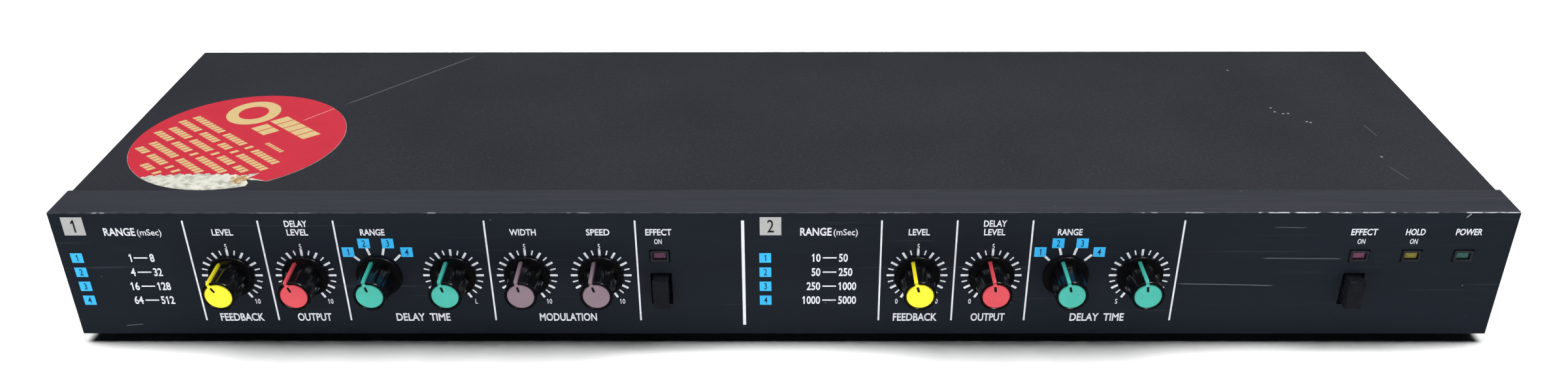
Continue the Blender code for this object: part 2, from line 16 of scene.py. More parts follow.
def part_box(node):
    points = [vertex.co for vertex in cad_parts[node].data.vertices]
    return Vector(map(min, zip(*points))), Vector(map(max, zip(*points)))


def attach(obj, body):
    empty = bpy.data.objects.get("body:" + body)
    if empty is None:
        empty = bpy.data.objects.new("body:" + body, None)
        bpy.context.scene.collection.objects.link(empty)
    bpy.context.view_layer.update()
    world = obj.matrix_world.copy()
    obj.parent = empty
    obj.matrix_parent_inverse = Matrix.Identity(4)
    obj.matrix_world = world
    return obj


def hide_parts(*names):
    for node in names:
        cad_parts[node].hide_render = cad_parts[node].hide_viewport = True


MM = 0.001

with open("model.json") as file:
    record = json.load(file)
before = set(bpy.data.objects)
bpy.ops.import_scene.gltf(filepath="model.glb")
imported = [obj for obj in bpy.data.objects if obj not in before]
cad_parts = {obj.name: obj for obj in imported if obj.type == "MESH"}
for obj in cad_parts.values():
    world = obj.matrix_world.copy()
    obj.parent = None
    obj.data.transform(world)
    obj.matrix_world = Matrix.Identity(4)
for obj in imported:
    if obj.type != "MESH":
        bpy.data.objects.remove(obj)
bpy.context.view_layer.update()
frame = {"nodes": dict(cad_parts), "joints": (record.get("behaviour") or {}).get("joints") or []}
NODES = frame["nodes"]

PANEL_LOW, PANEL_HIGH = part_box("front_panel")
COVER_LOW, COVER_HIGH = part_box("top_cover")
TRAY_LOW, TRAY_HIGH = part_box("chassis_tray")
FACE_Y = PANEL_LOW.y
PANEL_BOTTOM = PANEL_LOW.z
PANEL_TOP = PANEL_HIGH.z
REAR_Y = COVER_HIGH.y
COVER_TOP = COVER_HIGH.z

TURN_PREFIX = "_turn"
DIAL_STOP = 150
RANGE_STOP = 45
IN_MM = Matrix.Scale(MM, 4)
SHARP = math.radians(35)


def turn_by(degrees, axis="Z"):
    return Matrix.Rotation(math.radians(degrees), 4, axis)


# Meshes and pieces


def mesh_of(bm, name):
    bmesh.ops.recalc_face_normals(bm, faces=bm.faces)
    mesh = bpy.data.meshes.new(name)
    bm.to_mesh(mesh)
    bm.free()
    return mesh


def add_object(name, data):
    made = bpy.data.objects.new(name, data)
    bpy.context.scene.collection.objects.link(made)
    return made


def add_piece(name, mesh, finishes, body="root", slot=None, stands_for=()):
    """A shown piece that rides on a body, with one finish for each of its mesh's material numbers."""
    piece = add_object(name, mesh)
    for index, finish in enumerate(finishes):
        if index < len(mesh.materials):
            mesh.materials[index] = finish
        else:
            mesh.materials.append(finish)
    mesh.shade_smooth()
    mesh.set_sharp_from_angle(angle=SHARP)
    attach(piece, body)
    if stands_for:
        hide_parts(*stands_for)
    return piece


def ease_edges(piece, width, segments=2):
    """Rounds the piece's sharp edges by this width."""
    bevel = piece.modifiers.new("eased edges", "BEVEL")
    bevel.width = width
    bevel.segments = segments
    bevel.limit_method = "ANGLE"
    bevel.angle_limit = SHARP
    bevel.harden_normals = False
    return piece


def applied(mesh, modify):
    """The mesh with the modifiers that modify(obj) adds to it."""
    obj = add_object("being_made", mesh)
    modify(obj)
    bpy.context.view_layer.update()
    graph = bpy.context.evaluated_depsgraph_get()
    made = bpy.data.meshes.new_from_object(obj.evaluated_get(graph))
    bpy.data.objects.remove(obj)
    return made


def combine(mesh, other_mesh, operation="DIFFERENCE"):
    """The mesh less the other's shape, or joined with it."""
    other = add_object("other", other_mesh)

    def modify(obj):
        modifier = obj.modifiers.new("combine", "BOOLEAN")
        modifier.operation = operation
        modifier.solver = "EXACT"
        modifier.object = other

    made = applied(mesh, modify)
    bpy.data.objects.remove(other)
    return made


def eased(mesh, width, segments=2):
    return applied(mesh, lambda obj: ease_edges(obj, width, segments))


def add_mesh(bm, mesh, matrix=None, material=None):
    """Adds a mesh to bm at a place, with its faces set to one material number."""
    first = len(bm.faces)
    known = len(bm.verts)
    bm.from_mesh(mesh)
    bm.verts.ensure_lookup_table()
    bm.faces.ensure_lookup_table()
    if matrix is not None:
        bmesh.ops.transform(bm, matrix=matrix, verts=bm.verts[known:])
    if material is not None:
        for face in bm.faces[first:]:
            face.material_index = material


def box_mesh(low, high):
    low, high = Vector(low), Vector(high)
    bm = bmesh.new()
    shape = Matrix.Translation((low + high) / 2) @ Matrix.Diagonal((*(high - low), 1))
    bmesh.ops.create_cube(bm, size=1, matrix=shape)
    return mesh_of(bm, "box")


def lathe(rings, segments, shape=None):
    """A solid turned about local Z from (radius, out) rings, and shape(angle, radius, out) bends them."""
    bm = bmesh.new()
    loops = []
    for radius, out in rings:
        if radius == 0:
            loops.append([bm.verts.new((0, 0, out))])
            continue
        loop = []
        for step in range(segments):
            angle = 2 * math.pi * step / segments
            reach = shape(angle, radius, out) if shape else radius
            loop.append(bm.verts.new((reach * math.sin(angle), reach * math.cos(angle), out)))
        loops.append(loop)
    for first, second in zip(loops, loops[1:]):
        for step in range(segments):
            after = (step + 1) % segments
            corners = (
                first[step % len(first)], first[after % len(first)],
                second[after % len(second)], second[step % len(second)],
            )
            bm.faces.new(list(dict.fromkeys(corners)))
    return mesh_of(bm, "turned")


def prism(outline, low, high):
    """An outline in local X and Y, drawn along local Z from low to high."""
    bm = bmesh.new()
    base = bm.faces.new([bm.verts.new((x, y, low)) for x, y in outline])
    drawn = bmesh.ops.extrude_face_region(bm, geom=[base])["geom"]
    moved = [item for item in drawn if isinstance(item, bmesh.types.BMVert)]
    bmesh.ops.translate(bm, verts=moved, vec=(0, 0, high - low))
    return mesh_of(bm, "prism")


def arc(centre, radius, start, end, steps):
    """Points on an arc, between two angles in degrees."""
    for step in range(steps + 1):
        angle = math.radians(start + (end - start) * step / steps)
        yield centre[0] + radius * math.cos(angle), centre[1] + radius * math.sin(angle)


def rounded_box(width, tall, radius, steps=4):
    """The outline of a rectangle with round corners."""
    points = []
    corners = ((1, 1, 0), (-1, 1, 90), (-1, -1, 180), (1, -1, 270))
    for side, end, start in corners:
        centre = (side * (width / 2 - radius), end * (tall / 2 - radius))
        points += list(arc(centre, radius, start, start + 90, steps))
    return points


def refined(node, name, finish, edge, slot):
    """The CAD node's own shape with its flat faces whole and its edges eased."""
    bm = bmesh.new()
    bm.from_mesh(NODES[node].data)
    bmesh.ops.remove_doubles(bm, verts=bm.verts, dist=0.000001)
    bmesh.ops.dissolve_limit(bm, angle_limit=math.radians(1), verts=bm.verts, edges=bm.edges)
    ease_edges(add_piece(name, mesh_of(bm, name), [finish], slot=slot, stands_for=(node,)), edge)


def front_place(x, z):
    """Millimetres with local Z out of the face."""
    return Matrix.Translation((x, FACE_Y, z)) @ turn_by(90, "X") @ IN_MM


def rear_place(x, z):
    """Millimetres with local Z out of the rear wall."""
    return Matrix.Translation((x, REAR_Y, z)) @ turn_by(-90, "X") @ IN_MM


def downward_place(x, y, z):
    return Matrix.Translation((x, y, z)) @ turn_by(180, "X") @ IN_MM


def middle_x(node):
    low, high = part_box(node)
    return (low.x + high.x) / 2 / MM


def measured(node, rear=False):
    """A node's place on its wall, then its width, height, and reach out of and into the wall, in mm."""
    low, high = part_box(node)
    x, z = (low.x + high.x) / 2, (low.z + high.z) / 2
    if rear:
        place, out, inside = rear_place(x, z), high.y - REAR_Y, low.y - REAR_Y
    else:
        place, out, inside = front_place(x, z), FACE_Y - low.y, FACE_Y - high.y
    return place, *[length / MM for length in (high.x - low.x, high.z - low.z, out, inside)]


def assemble(node, place, shells, finishes, slot, body="root", name=None):
    """A piece that stands for a node, made of (mesh, finish number, own place if any) shells."""
    bm = bmesh.new()
    for mesh, number, *spot in shells:
        add_mesh(bm, mesh, place @ spot[0] if spot else place, number)
    return add_piece(name or f"{node}_detail", mesh_of(bm, node), finishes, body, slot, (node,))


# Finishes


def srgb(code):
    """Linear colour of a #rrggbb code."""
    values = [int(code[index:index + 2], 16) / 255 for index in (1, 3, 5)]
    return [v / 12.92 if v <= 0.04045 else ((v + 0.055) / 1.055) ** 2.4 for v in values]


class Finish:
    """A Principled material with the nodes that vary it over the surface."""

    def __init__(self, name, code, roughness, metallic=0.0, specular=0.5):
        self.material = bpy.data.materials.new(name)
        self.material.use_nodes = True
        self.nodes = self.material.node_tree.nodes
        self.links = self.material.node_tree.links
        self.shader = self.nodes["Principled BSDF"]
        self.colour = srgb(code)
        self.set("Base Color", (*self.colour, 1))
        self.set("Roughness", roughness)
        self.set("Metallic", metallic)
        self.set("Specular IOR Level", specular)
        self.place = self.new("TexCoord").outputs["Object"]
        split = self.new("SeparateXYZ")
        self.links.new(self.place, split.inputs[0])
        self.x, self.y, self.z = split.outputs

    def set(self, socket, value):
        self.shader.inputs[socket].default_value = value

    def new(self, kind):
        return self.nodes.new(f"ShaderNode{kind}")

    def join(self, source, socket):
        if isinstance(source, bpy.types.NodeSocket):
            self.links.new(source, socket)
        else:
            socket.default_value = source

    def math(self, operation, first, second=0.0):
        node = self.new("Math")
        node.operation = operation
        self.join(first, node.inputs[0])
        self.join(second, node.inputs[1])
        return node.outputs[0]

    def times(self, first, second):
        return self.math("MULTIPLY", first, second)

    def away(self, first, first_at, second, second_at):
        """How far two coordinates are from a place."""
        squares = [
            self.math("POWER", self.math("SUBTRACT", value, at), 2)
            for value, at in ((first, first_at), (second, second_at))
        ]
        return self.math("SQRT", self.math("ADD", *squares))

    def ramp(self, value, low, high, start=0.0, end=1.0):
        """Start below low, end above high, and smooth between them."""
        node = self.new("MapRange")
        node.interpolation_type = "SMOOTHSTEP"
        for socket, source in zip(node.inputs, (value, low, high, start, end)):
            self.join(source, socket)
        return node.outputs[0]

    def texture(self, kind, sizes, seed):
        """A texture node whose cells have these sizes in millimetres along X, Y and Z."""
        mapping = self.new("Mapping")
        self.links.new(self.place, mapping.inputs["Vector"])
        mapping.inputs["Location"].default_value = (seed,) * 3
        mapping.inputs["Scale"].default_value = [1 / (size * MM) for size in sizes]
        node = self.new(kind)
        self.links.new(mapping.outputs[0], node.inputs["Vector"])
        node.inputs["Scale"].default_value = 1.0
        return node

    def noise(self, size, stretch=1, detail=2.0, seed=0.0):
        """Noise with features about this size, longer along X where stretch is more than 1."""
        node = self.texture("TexNoise", (size * stretch, size, size), seed)
        node.inputs["Detail"].default_value = detail
        return node.outputs["Fac"]

    def specks(self, spacing, share, seed=0.0):
        """Small dots, about one to each cell of this size times share."""
        node = self.texture("TexVoronoi", (spacing,) * 3, seed)
        return self.ramp(node.outputs["Distance"], share, share * 0.5)

    def near_line(self, start, end, width, up=None):
        """1 on a straight mark between two points, given as x and y, or as x and up, in millimetres."""
        start, along = Vector(start) * MM, (Vector(end) - Vector(start)) * MM
        length = along.length
        ux, uy = along / length
        dx = self.math("SUBTRACT", self.x, start[0])
        dy = self.math("SUBTRACT", up or self.y, start[1])
        run = self.math("ADD", self.times(dx, ux), self.times(dy, uy))
        aside = self.math("SUBTRACT", self.times(dx, uy), self.times(dy, ux))
        line = self.ramp(self.math("ABSOLUTE", aside), width * MM, width * MM * 0.3)
        inside = self.times(self.ramp(run, 0, length * 0.1), self.ramp(run, length, length * 0.9))
        return self.times(line, inside)

    def near_spot(self, x, y, z, radius):
        """1 within this radius of a place, in millimetres."""
        node = self.new("VectorMath")
        node.operation = "DISTANCE"
        self.links.new(self.place, node.inputs[0])
        node.inputs[1].default_value = Vector((x, y, z)) * MM
        return self.ramp(node.outputs["Value"], radius * MM, radius * MM * 0.5)

    def between(self, value, low, high, soft):
        """1 where value is between low and high, with soft ends."""
        return self.times(self.ramp(value, low - soft, low), self.ramp(value, high + soft, high))

    def mix(self, factor, first, second):
        """Sets the base colour to a mix of a colour or a link, and a colour."""
        node = self.new("Mix")
        node.data_type = "RGBA"
        self.join(factor, node.inputs["Factor"])
        self.join(first, node.inputs[6])
        self.join((*second, 1), node.inputs[7])
        self.links.new(node.outputs[2], self.shader.inputs["Base Color"])

    def tint(self, factor, code, strength=None):
        """Mixes another colour over what is there, by factor times strength."""
        if strength is not None:
            factor = self.times(factor, strength)
        base = self.shader.inputs["Base Color"]
        self.mix(factor, base.links[0].from_socket if base.is_linked else base.default_value, srgb(code))

    def shade(self, factor, darker, lighter):
        """Makes the surface's own colour darker to lighter as factor goes from 0 to 1."""
        dark, light = ([min(1, value * amount) for value in self.colour] for amount in (darker, lighter))
        self.mix(factor, (*dark, 1), light)

    def roughen(self, factor, low, high):
        self.links.new(self.ramp(factor, 0.3, 0.7, low, high), self.shader.inputs["Roughness"])

    def relief(self, height, depth):
        """Raises the surface by depth in millimetres where height is 1."""
        node = self.new("Bump")
        node.inputs["Distance"].default_value = depth * MM
        self.links.new(height, node.inputs["Height"])
        if self.shader.inputs["Normal"].is_linked:
            self.links.new(self.shader.inputs["Normal"].links[0].from_socket, node.inputs["Normal"])
        self.links.new(node.outputs[0], self.shader.inputs["Normal"])


# Worn stretches of the panel's top front edge, as X in millimetres, and how bright each is
EDGE_WEAR = (
    (-207, -204, 0.5), (-160, -142, 0.12), (-106, -104, 0.5), (-64, -58, 0.2), (26, 40, 0.15),
    (108, 112, 0.4), (121, 126, 0.4), (143, 170, 0.95), (174, 187, 0.5), (190, 198, 0.3), (205, 221, 0.8),
)
# Scratches on the face, as X and height in millimetres at both ends, and how bright each is
FACE_SCRATCHES = (
    (146, 27.9, 171, 27.7, 0.22), (121, 18.7, 152, 18.0, 0.25), (206.3, 43.6, 205.0, 42.2, 0.8),
    (148, 38.9, 158, 38.7, 0.15), (-207, 3.0, -201, 3.6, 0.25),
)


def panel_finish():
    """Black anodised aluminium, brushed along X, paler on its top flange and worn at the edge."""
    finish = Finish("panel_anodised", "#19202a", 0.42, specular=0.3)
    grain = finish.noise(0.3, stretch=160, detail=3)
    broad = finish.noise(18, stretch=4, detail=2, seed=3)
    finish.shade(broad, 0.82, 1.18)
    on_top = finish.ramp(finish.z, PANEL_TOP - 0.25 * MM, PANEL_TOP - 0.05 * MM)
    flange = finish.times(on_top, finish.ramp(grain, 0.3, 0.75, 0.72, 1.0))
    finish.tint(flange, "#35373d")
    streaks = finish.ramp(finish.noise(0.7, stretch=70, detail=2, seed=8), 0.66, 0.78)
    finish.tint(streaks, "#7d828c", 0.10)
    finish.tint(finish.specks(9, 0.028, seed=5), "#9aa0a8", 0.5)
    bottom = PANEL_BOTTOM / MM
    for x, z, far_x, far_z, amount in FACE_SCRATCHES:
        start, end = (x, bottom + z), (far_x, bottom + far_z)
        finish.tint(finish.near_line(start, end, 0.22, finish.z), "#aab0b8", amount)
    edge = finish.ramp(finish.away(finish.y, FACE_Y, finish.z, PANEL_TOP), 0.30 * MM, 0.12 * MM)
    worn = 0.05
    for start, end, amount in EDGE_WEAR:
        stretch = finish.between(finish.x, start * MM, end * MM, 0.6 * MM)
        worn = finish.math("ADD", worn, finish.times(stretch, amount))
    ragged = finish.ramp(finish.noise(0.8, stretch=3, detail=3, seed=2), 0.40, 0.52)
    bare = finish.times(edge, finish.times(worn, ragged))
    finish.tint(bare, "#d4d7da")
    finish.roughen(grain, 0.36, 0.50)
    finish.relief(grain, 0.006)
    return finish.material


# Marks on the cover, as X and Y in millimetres
SCRATCH = ((-115, 62), (-154, 17))
COVER_SCUFFS = (((196, 2), (197.5, -7)), ((193, -28), (196, -37)))
COVER_SPECKS = (
    (168.9, 15.0), (169.3, 11.9), (171.7, 10.3), (173.5, 10.6), (177.7, 4.2), (178.8, 3.5), (163.0, 46.9),
    (193.2, -21.5),
)


def cover_finish():
    """Dark satin paint with a fine texture, a long scratch, scuffs and a few specks."""
    finish = Finish("cover_paint", "#27292f", 0.5, specular=0.2)
    fine = finish.noise(0.9, detail=3)
    broad = finish.noise(45, detail=3, seed=4)
    finish.shade(broad, 0.86, 1.12)
    finish.tint(finish.ramp(fine, 0.45, 0.75), "#63656b", 0.10)
    finish.tint(finish.near_line(*SCRATCH, 0.45), "#8d8e90", 0.30)
    for start, end in COVER_SCUFFS:
        finish.tint(finish.near_line(start, end, 0.4), "#8d8e90", 0.16)
    for x, y in COVER_SPECKS:
        finish.tint(finish.near_spot(x, y, COVER_TOP / MM, 0.55), "#b5b6b8", 0.6)
    finish.tint(finish.specks(30, 0.022, seed=11), "#b5b6b8", 0.8)
    finish.tint(finish.specks(7, 0.03, seed=1), "#85868a", 0.20)
    finish.roughen(broad, 0.46, 0.58)
    finish.relief(fine, 0.012)
    return finish.material


def tray_finish():
    finish = Finish("tray_paint", "#2b2c30", 0.5, specular=0.4)
    fine = finish.noise(0.8, detail=3, seed=6)
    finish.shade(finish.noise(30, detail=3), 0.85, 1.15)
    finish.tint(finish.specks(6, 0.03), "#85868a", 0.3)
    finish.roughen(fine, 0.42, 0.6)
    finish.relief(fine, 0.01)
    return finish.material


def plastic(name, code, low, high, specular=0.5, dust=0.15, depth=0.004):
    """Moulded plastic: a little uneven in colour and gloss, with fine dust."""
    finish = Finish(name, code, low, specular=specular)
    fine = finish.noise(0.5, detail=3)
    finish.shade(finish.noise(4, detail=2, seed=2), 0.9, 1.1)
    finish.tint(finish.times(finish.specks(1.6, 0.05), dust), "#c9c9c6")
    finish.roughen(finish.noise(2.5, detail=3, seed=7), low, high)
    if depth:
        finish.relief(fine, depth)
    return finish.material


def metal(name, code, low, high):
    finish = Finish(name, code, low, metallic=0.75)
    grain = finish.noise(0.3, detail=3)
    finish.shade(finish.noise(2, detail=3, seed=3), 0.82, 1.1)
    finish.roughen(grain, low, high)
    finish.relief(grain, 0.003)
    return finish.material


def ink(name, code):
    """Screen-printed ink, a little thin in places."""
    finish = Finish(name, code, 0.5, specular=0.3)
    finish.shade(finish.noise(0.6, detail=3), 0.86, 1.06)
    finish.roughen(finish.noise(1.5, detail=2, seed=4), 0.42, 0.6)
    return finish.material


def lens_finish(name, code, inner):
    """Tinted, frosted lens with faint ribs."""
    finish = Finish(name, code, 0.25, specular=0.5)
    finish.set("Coat Weight", 0.5)
    finish.set("Coat Roughness", 0.08)
    ribs = finish.math("SINE", finish.times(finish.x, 2 * math.pi / (0.5 * MM)))
    finish.tint(finish.ramp(ribs, -1.0, 1.0, 0.0, 0.45), inner)
    finish.roughen(finish.noise(1, detail=2), 0.2, 0.34)
    finish.relief(ribs, 0.01)
    return finish.material


def rubber_finish():
    finish = Finish("foot_rubber", "#1b1b1c", 0.85, specular=0.3)
    fine = finish.noise(0.5, detail=4)
    finish.shade(fine, 0.8, 1.3)
    finish.tint(finish.specks(2, 0.08), "#8c8a86", 0.3)
    finish.roughen(fine, 0.75, 0.95)
    finish.relief(fine, 0.03)
    return finish.material


def board_finish():
    """Green circuit board with paler tracks, and dark parts standing on it."""
    finish = Finish("circuit_board", "#3c6b3a", 0.4)
    lines = finish.noise(1.4, stretch=6, detail=1)
    tracks = finish.times(finish.ramp(lines, 0.50, 0.52), 0.55)
    finish.tint(tracks, "#6f9a5c")
    finish.tint(finish.specks(3.2, 0.22, seed=2), "#b9bab4")
    board_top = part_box("main_board")[0].z + 1.7 * MM
    parts = finish.between(finish.z, board_top, board_top + 20 * MM, 0.05 * MM)
    behind = finish.ramp(finish.y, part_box("main_board")[0].y - MM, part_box("main_board")[0].y)
    finish.tint(finish.times(parts, behind), "#1c1c1e")
    finish.roughen(lines, 0.3, 0.5)
    finish.relief(lines, 0.02)
    return finish.material


def core_finish():
    """Steel laminations, in darker and lighter leaves along Y."""
    finish = Finish("core_steel", "#77787c", 0.45, metallic=0.7)
    leaves = finish.math("SINE", finish.times(finish.y, 2 * math.pi / (1.0 * MM)))
    finish.shade(finish.ramp(leaves, -0.8, 0.8), 0.6, 1.1)
    finish.roughen(finish.noise(1, detail=3), 0.35, 0.6)
    finish.relief(leaves, 0.05)
    return finish.material


def sticker_finish():
    """Glossy red paper with faint mottling, its colour rubbed thin along the scratch."""
    finish = Finish("sticker_red", "#c42c3e", 0.4, specular=0.3)
    finish.shade(finish.noise(9, detail=4), 0.90, 1.08)
    finish.tint(finish.specks(1.1, 0.16, seed=3), "#e07a80", 0.18)
    finish.tint(finish.near_line(SCRATCH[1], (-164, 5), 0.4), "#f0b3b3", 0.45)
    fine = finish.noise(0.6, detail=3)
    finish.roughen(fine, 0.32, 0.45)
    finish.relief(fine, 0.01)
    return finish.material


def paper_finish():
    """Torn paper backing: off-white, mottled and grubby, with a brown stain by its right end."""
    finish = Finish("torn_paper", "#cfcec2", 0.9, specular=0.2)
    mottle = finish.noise(2.2, detail=5)
    finish.tint(finish.ramp(mottle, 0.42, 0.64, 0.0, 0.85), "#9d9d92")
    finish.tint(finish.ramp(finish.noise(5, detail=3, seed=9), 0.5, 0.7, 0.0, 0.6), "#e4e2d3")
    out = finish.away(finish.x, -170.4 * MM, finish.y, -36.0 * MM)
    ragged = finish.ramp(finish.noise(1.2, detail=4, seed=5), 0.3, 0.7, -1.1 * MM, 1.1 * MM)
    blot = finish.ramp(finish.math("ADD", out, ragged), 3.2 * MM, 1.8 * MM)
    finish.tint(finish.times(blot, finish.ramp(mottle, 0.3, 0.6, 0.6, 1.0)), "#a37a35")
    finish.relief(mottle, 0.08)
    return finish.material


def floor_finish():
    """White floor with a glow of its own further out, where the lamps over the object don't reach."""
    finish = Finish("studio_floor", "#f7f7f7", 0.8, specular=0.1)
    finish.shade(finish.noise(400, detail=2), 0.99, 1.0)
    near = finish.near_spot(0, 0, 0, 1300)
    finish.set("Emission Color", (0.93, 0.93, 0.93, 1))
    finish.links.new(finish.math("SUBTRACT", 1, near), finish.shader.inputs["Emission Strength"])
    return finish.material


def backdrop_finish():
    """Plain pale light, the same all over."""
    material = bpy.data.materials.new("studio_backdrop")
    material.use_nodes = True
    nodes = material.node_tree.nodes
    nodes.clear()
    glow = nodes.new("ShaderNodeEmission")
    glow.inputs["Color"].default_value = (0.9, 0.9, 0.905, 1)
    output = nodes.new("ShaderNodeOutputMaterial")
    material.node_tree.links.new(glow.outputs[0], output.inputs["Surface"])
    return material


PANEL = panel_finish()
COVER = cover_finish()
TRAY = tray_finish()
KNOB = plastic("knob_black", "#09090b", 0.15, 0.22, dust=0.05, depth=0)
CAPS = {
    f"cap_{name}": plastic(f"cap_{name}", code, 0.30, 0.40, dust=0.08)
    for name, code in (("yellow", "#f7e81c"), ("red", "#d84652"), ("green", "#3cb0a0"), ("mauve", "#85717c"))
}
CAP_SLOT = plastic("cap_slot", "#15120f", 0.6, 0.8)
BEZEL = plastic("bezel_black", "#25272c", 0.35, 0.5)
BUTTON = plastic("button_black", "#17191f", 0.24, 0.34, depth=0)
LENSES = {
    "ch1_effect": ("lens_red", lens_finish("lens_dark_red", "#5a3049", "#6e4460")),
    "ch2_effect": ("lens_red", lens_finish("lens_red", "#6a3654", "#86506f")),
    "hold": ("lens_yellow", lens_finish("lens_yellow", "#777028", "#918a42")),
    "power": ("lens_green", lens_finish("lens_green", "#2d5a52", "#467a70")),
}
INK_CODES = {"white": "#e2e5ec", "grey": "#b0b1b0", "blue": "#2cb6f4", "dark": "#0d2a4a", "black": "#16181b"}
INKS = {name: ink(f"ink_{name}", code) for name, code in INK_CODES.items()}
NICKEL = metal("nickel_plate", "#b9bbbd", 0.22, 0.38)
BLADE = metal("blade_plate", "#c8c5bb", 0.22, 0.4)
SCREW = metal("screw_black", "#3a3b3e", 0.35, 0.5)
SOCKET = plastic("socket_plastic", "#151517", 0.4, 0.6)
RUBBER = rubber_finish()
BOARD = board_finish()
CORE = core_finish()
CONTROL = metal("control_metal", "#a9a9a6", 0.3, 0.5)
SWITCH = plastic("switch_plastic", "#2a2a2c", 0.45, 0.6)
STICKER = sticker_finish()
CREAM = ink("sticker_cream", "#d4b981")
PAPER = paper_finish()


# Printed legends on the front panel

INK_DEPTH = 0.04
LEGEND_TOP = 41.3
DIVIDER_BOTTOM = 5.1
DIVIDER_WIDTH = 0.52
BLOCK_SIZE = (3.6, 3.4)
NARROW = 0.72
WEIGHT = 0.018
SMALL_CAPS = 2.1
LARGE_CAPS = 2.7
LABEL_Z = 37.2
FOOT_LABEL_Z = 6.3


def plain_letters(text, weight):
    """Lettering one unit thick from x = 0, whose capitals stand from 0 to about 0.7."""
    curve = bpy.data.curves.new("letters", "FONT")
    curve.body = text
    curve.extrude = 0.5
    curve.offset = weight
    curve.resolution_u = 3
    obj = add_object("letters", curve)
    bpy.context.view_layer.update()
    mesh = bpy.data.meshes.new_from_object(obj.evaluated_get(bpy.context.evaluated_depsgraph_get()))
    bpy.data.objects.remove(obj)
    return mesh


def across_of(mesh):
    """The lowest and highest X of a mesh."""
    values = [vertex.co.x for vertex in mesh.vertices]
    return min(values), max(values)


CAPITAL = max(vertex.co.y for vertex in plain_letters("H", 0).vertices)


def letter_mesh(text, weight, align):
    """Plain lettering with a flag on each figure one, set out from its left, middle or right."""
    bm = bmesh.new()
    add_mesh(bm, plain_letters(text, weight))
    for index, letter in enumerate(text):
        if letter == "1":
            stem, edge = across_of(plain_letters("1", weight))
            left = across_of(plain_letters(text[:index + 1], weight))[1] - (edge - stem)
            flag = ((0.02, 0), (0.02, -0.15), (-0.13, -0.22), (-0.13, -0.13))
            add_mesh(bm, prism([(left + x, CAPITAL + y) for x, y in flag], -0.5, 0.5))
    mesh = mesh_of(bm, "letters")
    low, high = across_of(mesh)
    shift = {"LEFT": low, "CENTER": (low + high) / 2, "RIGHT": high}[align]
    mesh.transform(Matrix.Translation((-shift, 0, 0)))
    return mesh


class Print:
    """Ink on a flat face: one mesh for each ink, laid out on the face's own X and Y in millimetres."""

    def __init__(self, prefix, face):
        self.prefix = prefix
        self.face = face
        self.layers = {}

    def layer(self, colour):
        return self.layers.setdefault(colour, bmesh.new())

    def place(self, x, y, turn=0.0, level=0):
        spot = Matrix.Translation((x, y, level * INK_DEPTH))
        return self.face @ spot @ turn_by(turn)

    def letters(self, text, x, y, height, width=None, colour="white", level=0, weight=WEIGHT, align="CENTER"):
        """Lettering whose capitals are height tall and centred on y, drawn to this width if one is given."""
        scale = height / CAPITAL
        mesh = letter_mesh(text, weight, align)
        low, high = across_of(mesh)
        squeeze = width / (high - low) if width else scale * NARROW
        size = Matrix.Diagonal((squeeze, scale, INK_DEPTH, 1))
        drop = Matrix.Translation((0, -height / 2, INK_DEPTH / 2))
        add_mesh(self.layer(colour), mesh, self.place(x, y, 0, level) @ drop @ size)

    def bar(self, x, y, width, tall, turn=0.0, colour="white", level=0, corner=0.0):
        """A rectangle centred on x and y."""
        outline = rounded_box(width, tall, max(corner, 0.02), 2)
        add_mesh(self.layer(colour), prism(outline, 0, INK_DEPTH), self.place(x, y, turn, level))

    def finish(self, inks):
        for colour, bm in self.layers.items():
            bmesh.ops.remove_doubles(bm, verts=bm.verts, dist=0.000001)
            add_piece(f"{self.prefix}_{colour}", mesh_of(bm, colour), [inks[colour]])


def controls():
    """(name, x in millimetres, joint, stepped) of each turning control."""
    for joint in frame["joints"]:
        if joint["name"].endswith(TURN_PREFIX):
            name = joint["name"][: -len(TURN_PREFIX)]
            yield name, joint["pos_m"][0] / MM, joint, f"{name}_selector" in NODES


KNOB_X = {name: x for name, x, _, _ in controls()}
STEPPED = {name: stepped for name, _, _, stepped in controls()}
KNOB_Z = (next(iter(frame["joints"]))["pos_m"][2] - PANEL_BOTTOM) / MM
KNOB_PITCH = KNOB_X["ch1_output"] - KNOB_X["ch1_feedback"]


def round_dial(x, turn, reach):
    angle = math.radians(turn)
    return x + reach * math.sin(angle), KNOB_Z + reach * math.cos(angle)


TICK_REACH = 9.35
DIAL_FOOT = 9.6


def print_dial(ink_on, name, x):
    """Eleven long ticks with short ones between them, and the numbers by the dial."""
    for tick in range(21):
        long = tick % 2 == 0
        turn = -DIAL_STOP + tick * DIAL_STOP / 10
        length, width = (2.3, 0.72) if long else (1.7, 0.42)
        middle = TICK_REACH - (0 if long else 0.15) - length / 2
        ink_on.bar(*round_dial(x, turn, middle), width, length, -turn, corner=0.08)
    low, high = ("S", "L") if name.endswith("time") else ("0", "10")
    small = {"height": 1.7, "weight": 0.006}
    ink_on.letters(low, x - 6.0, KNOB_Z - DIAL_FOOT, **small)
    ink_on.letters(high, x + 6.0, KNOB_Z - DIAL_FOOT, **small)
    if not name.endswith("time"):
        ink_on.letters("5", x, KNOB_Z + 10.4, **small)


def print_range_dial(ink_on, x):
    """Four numbered blocks round the selector, each with a line towards it."""
    blocks = ((-8.4, 8.4), (-3.2, 11.5), (4.1, 11.5), (9.5, 8.4))
    for number, ((across, up), turn) in enumerate(zip(blocks, (-45, -15, 15, 45)), 1):
        ink_on.bar(*round_dial(x, turn, 9.0), 0.75, 2.9, -turn, corner=0.06)
        print_block(ink_on, x + across, KNOB_Z + up, number)


def print_block(ink_on, x, z, number):
    ink_on.bar(x, z, *BLOCK_SIZE, colour="blue", level=1)
    ink_on.letters(str(number), x, z, 2.2, colour="dark", level=2, weight=0.006)


TABLE_TOP = 28.1
TABLE_PITCH = 5.15


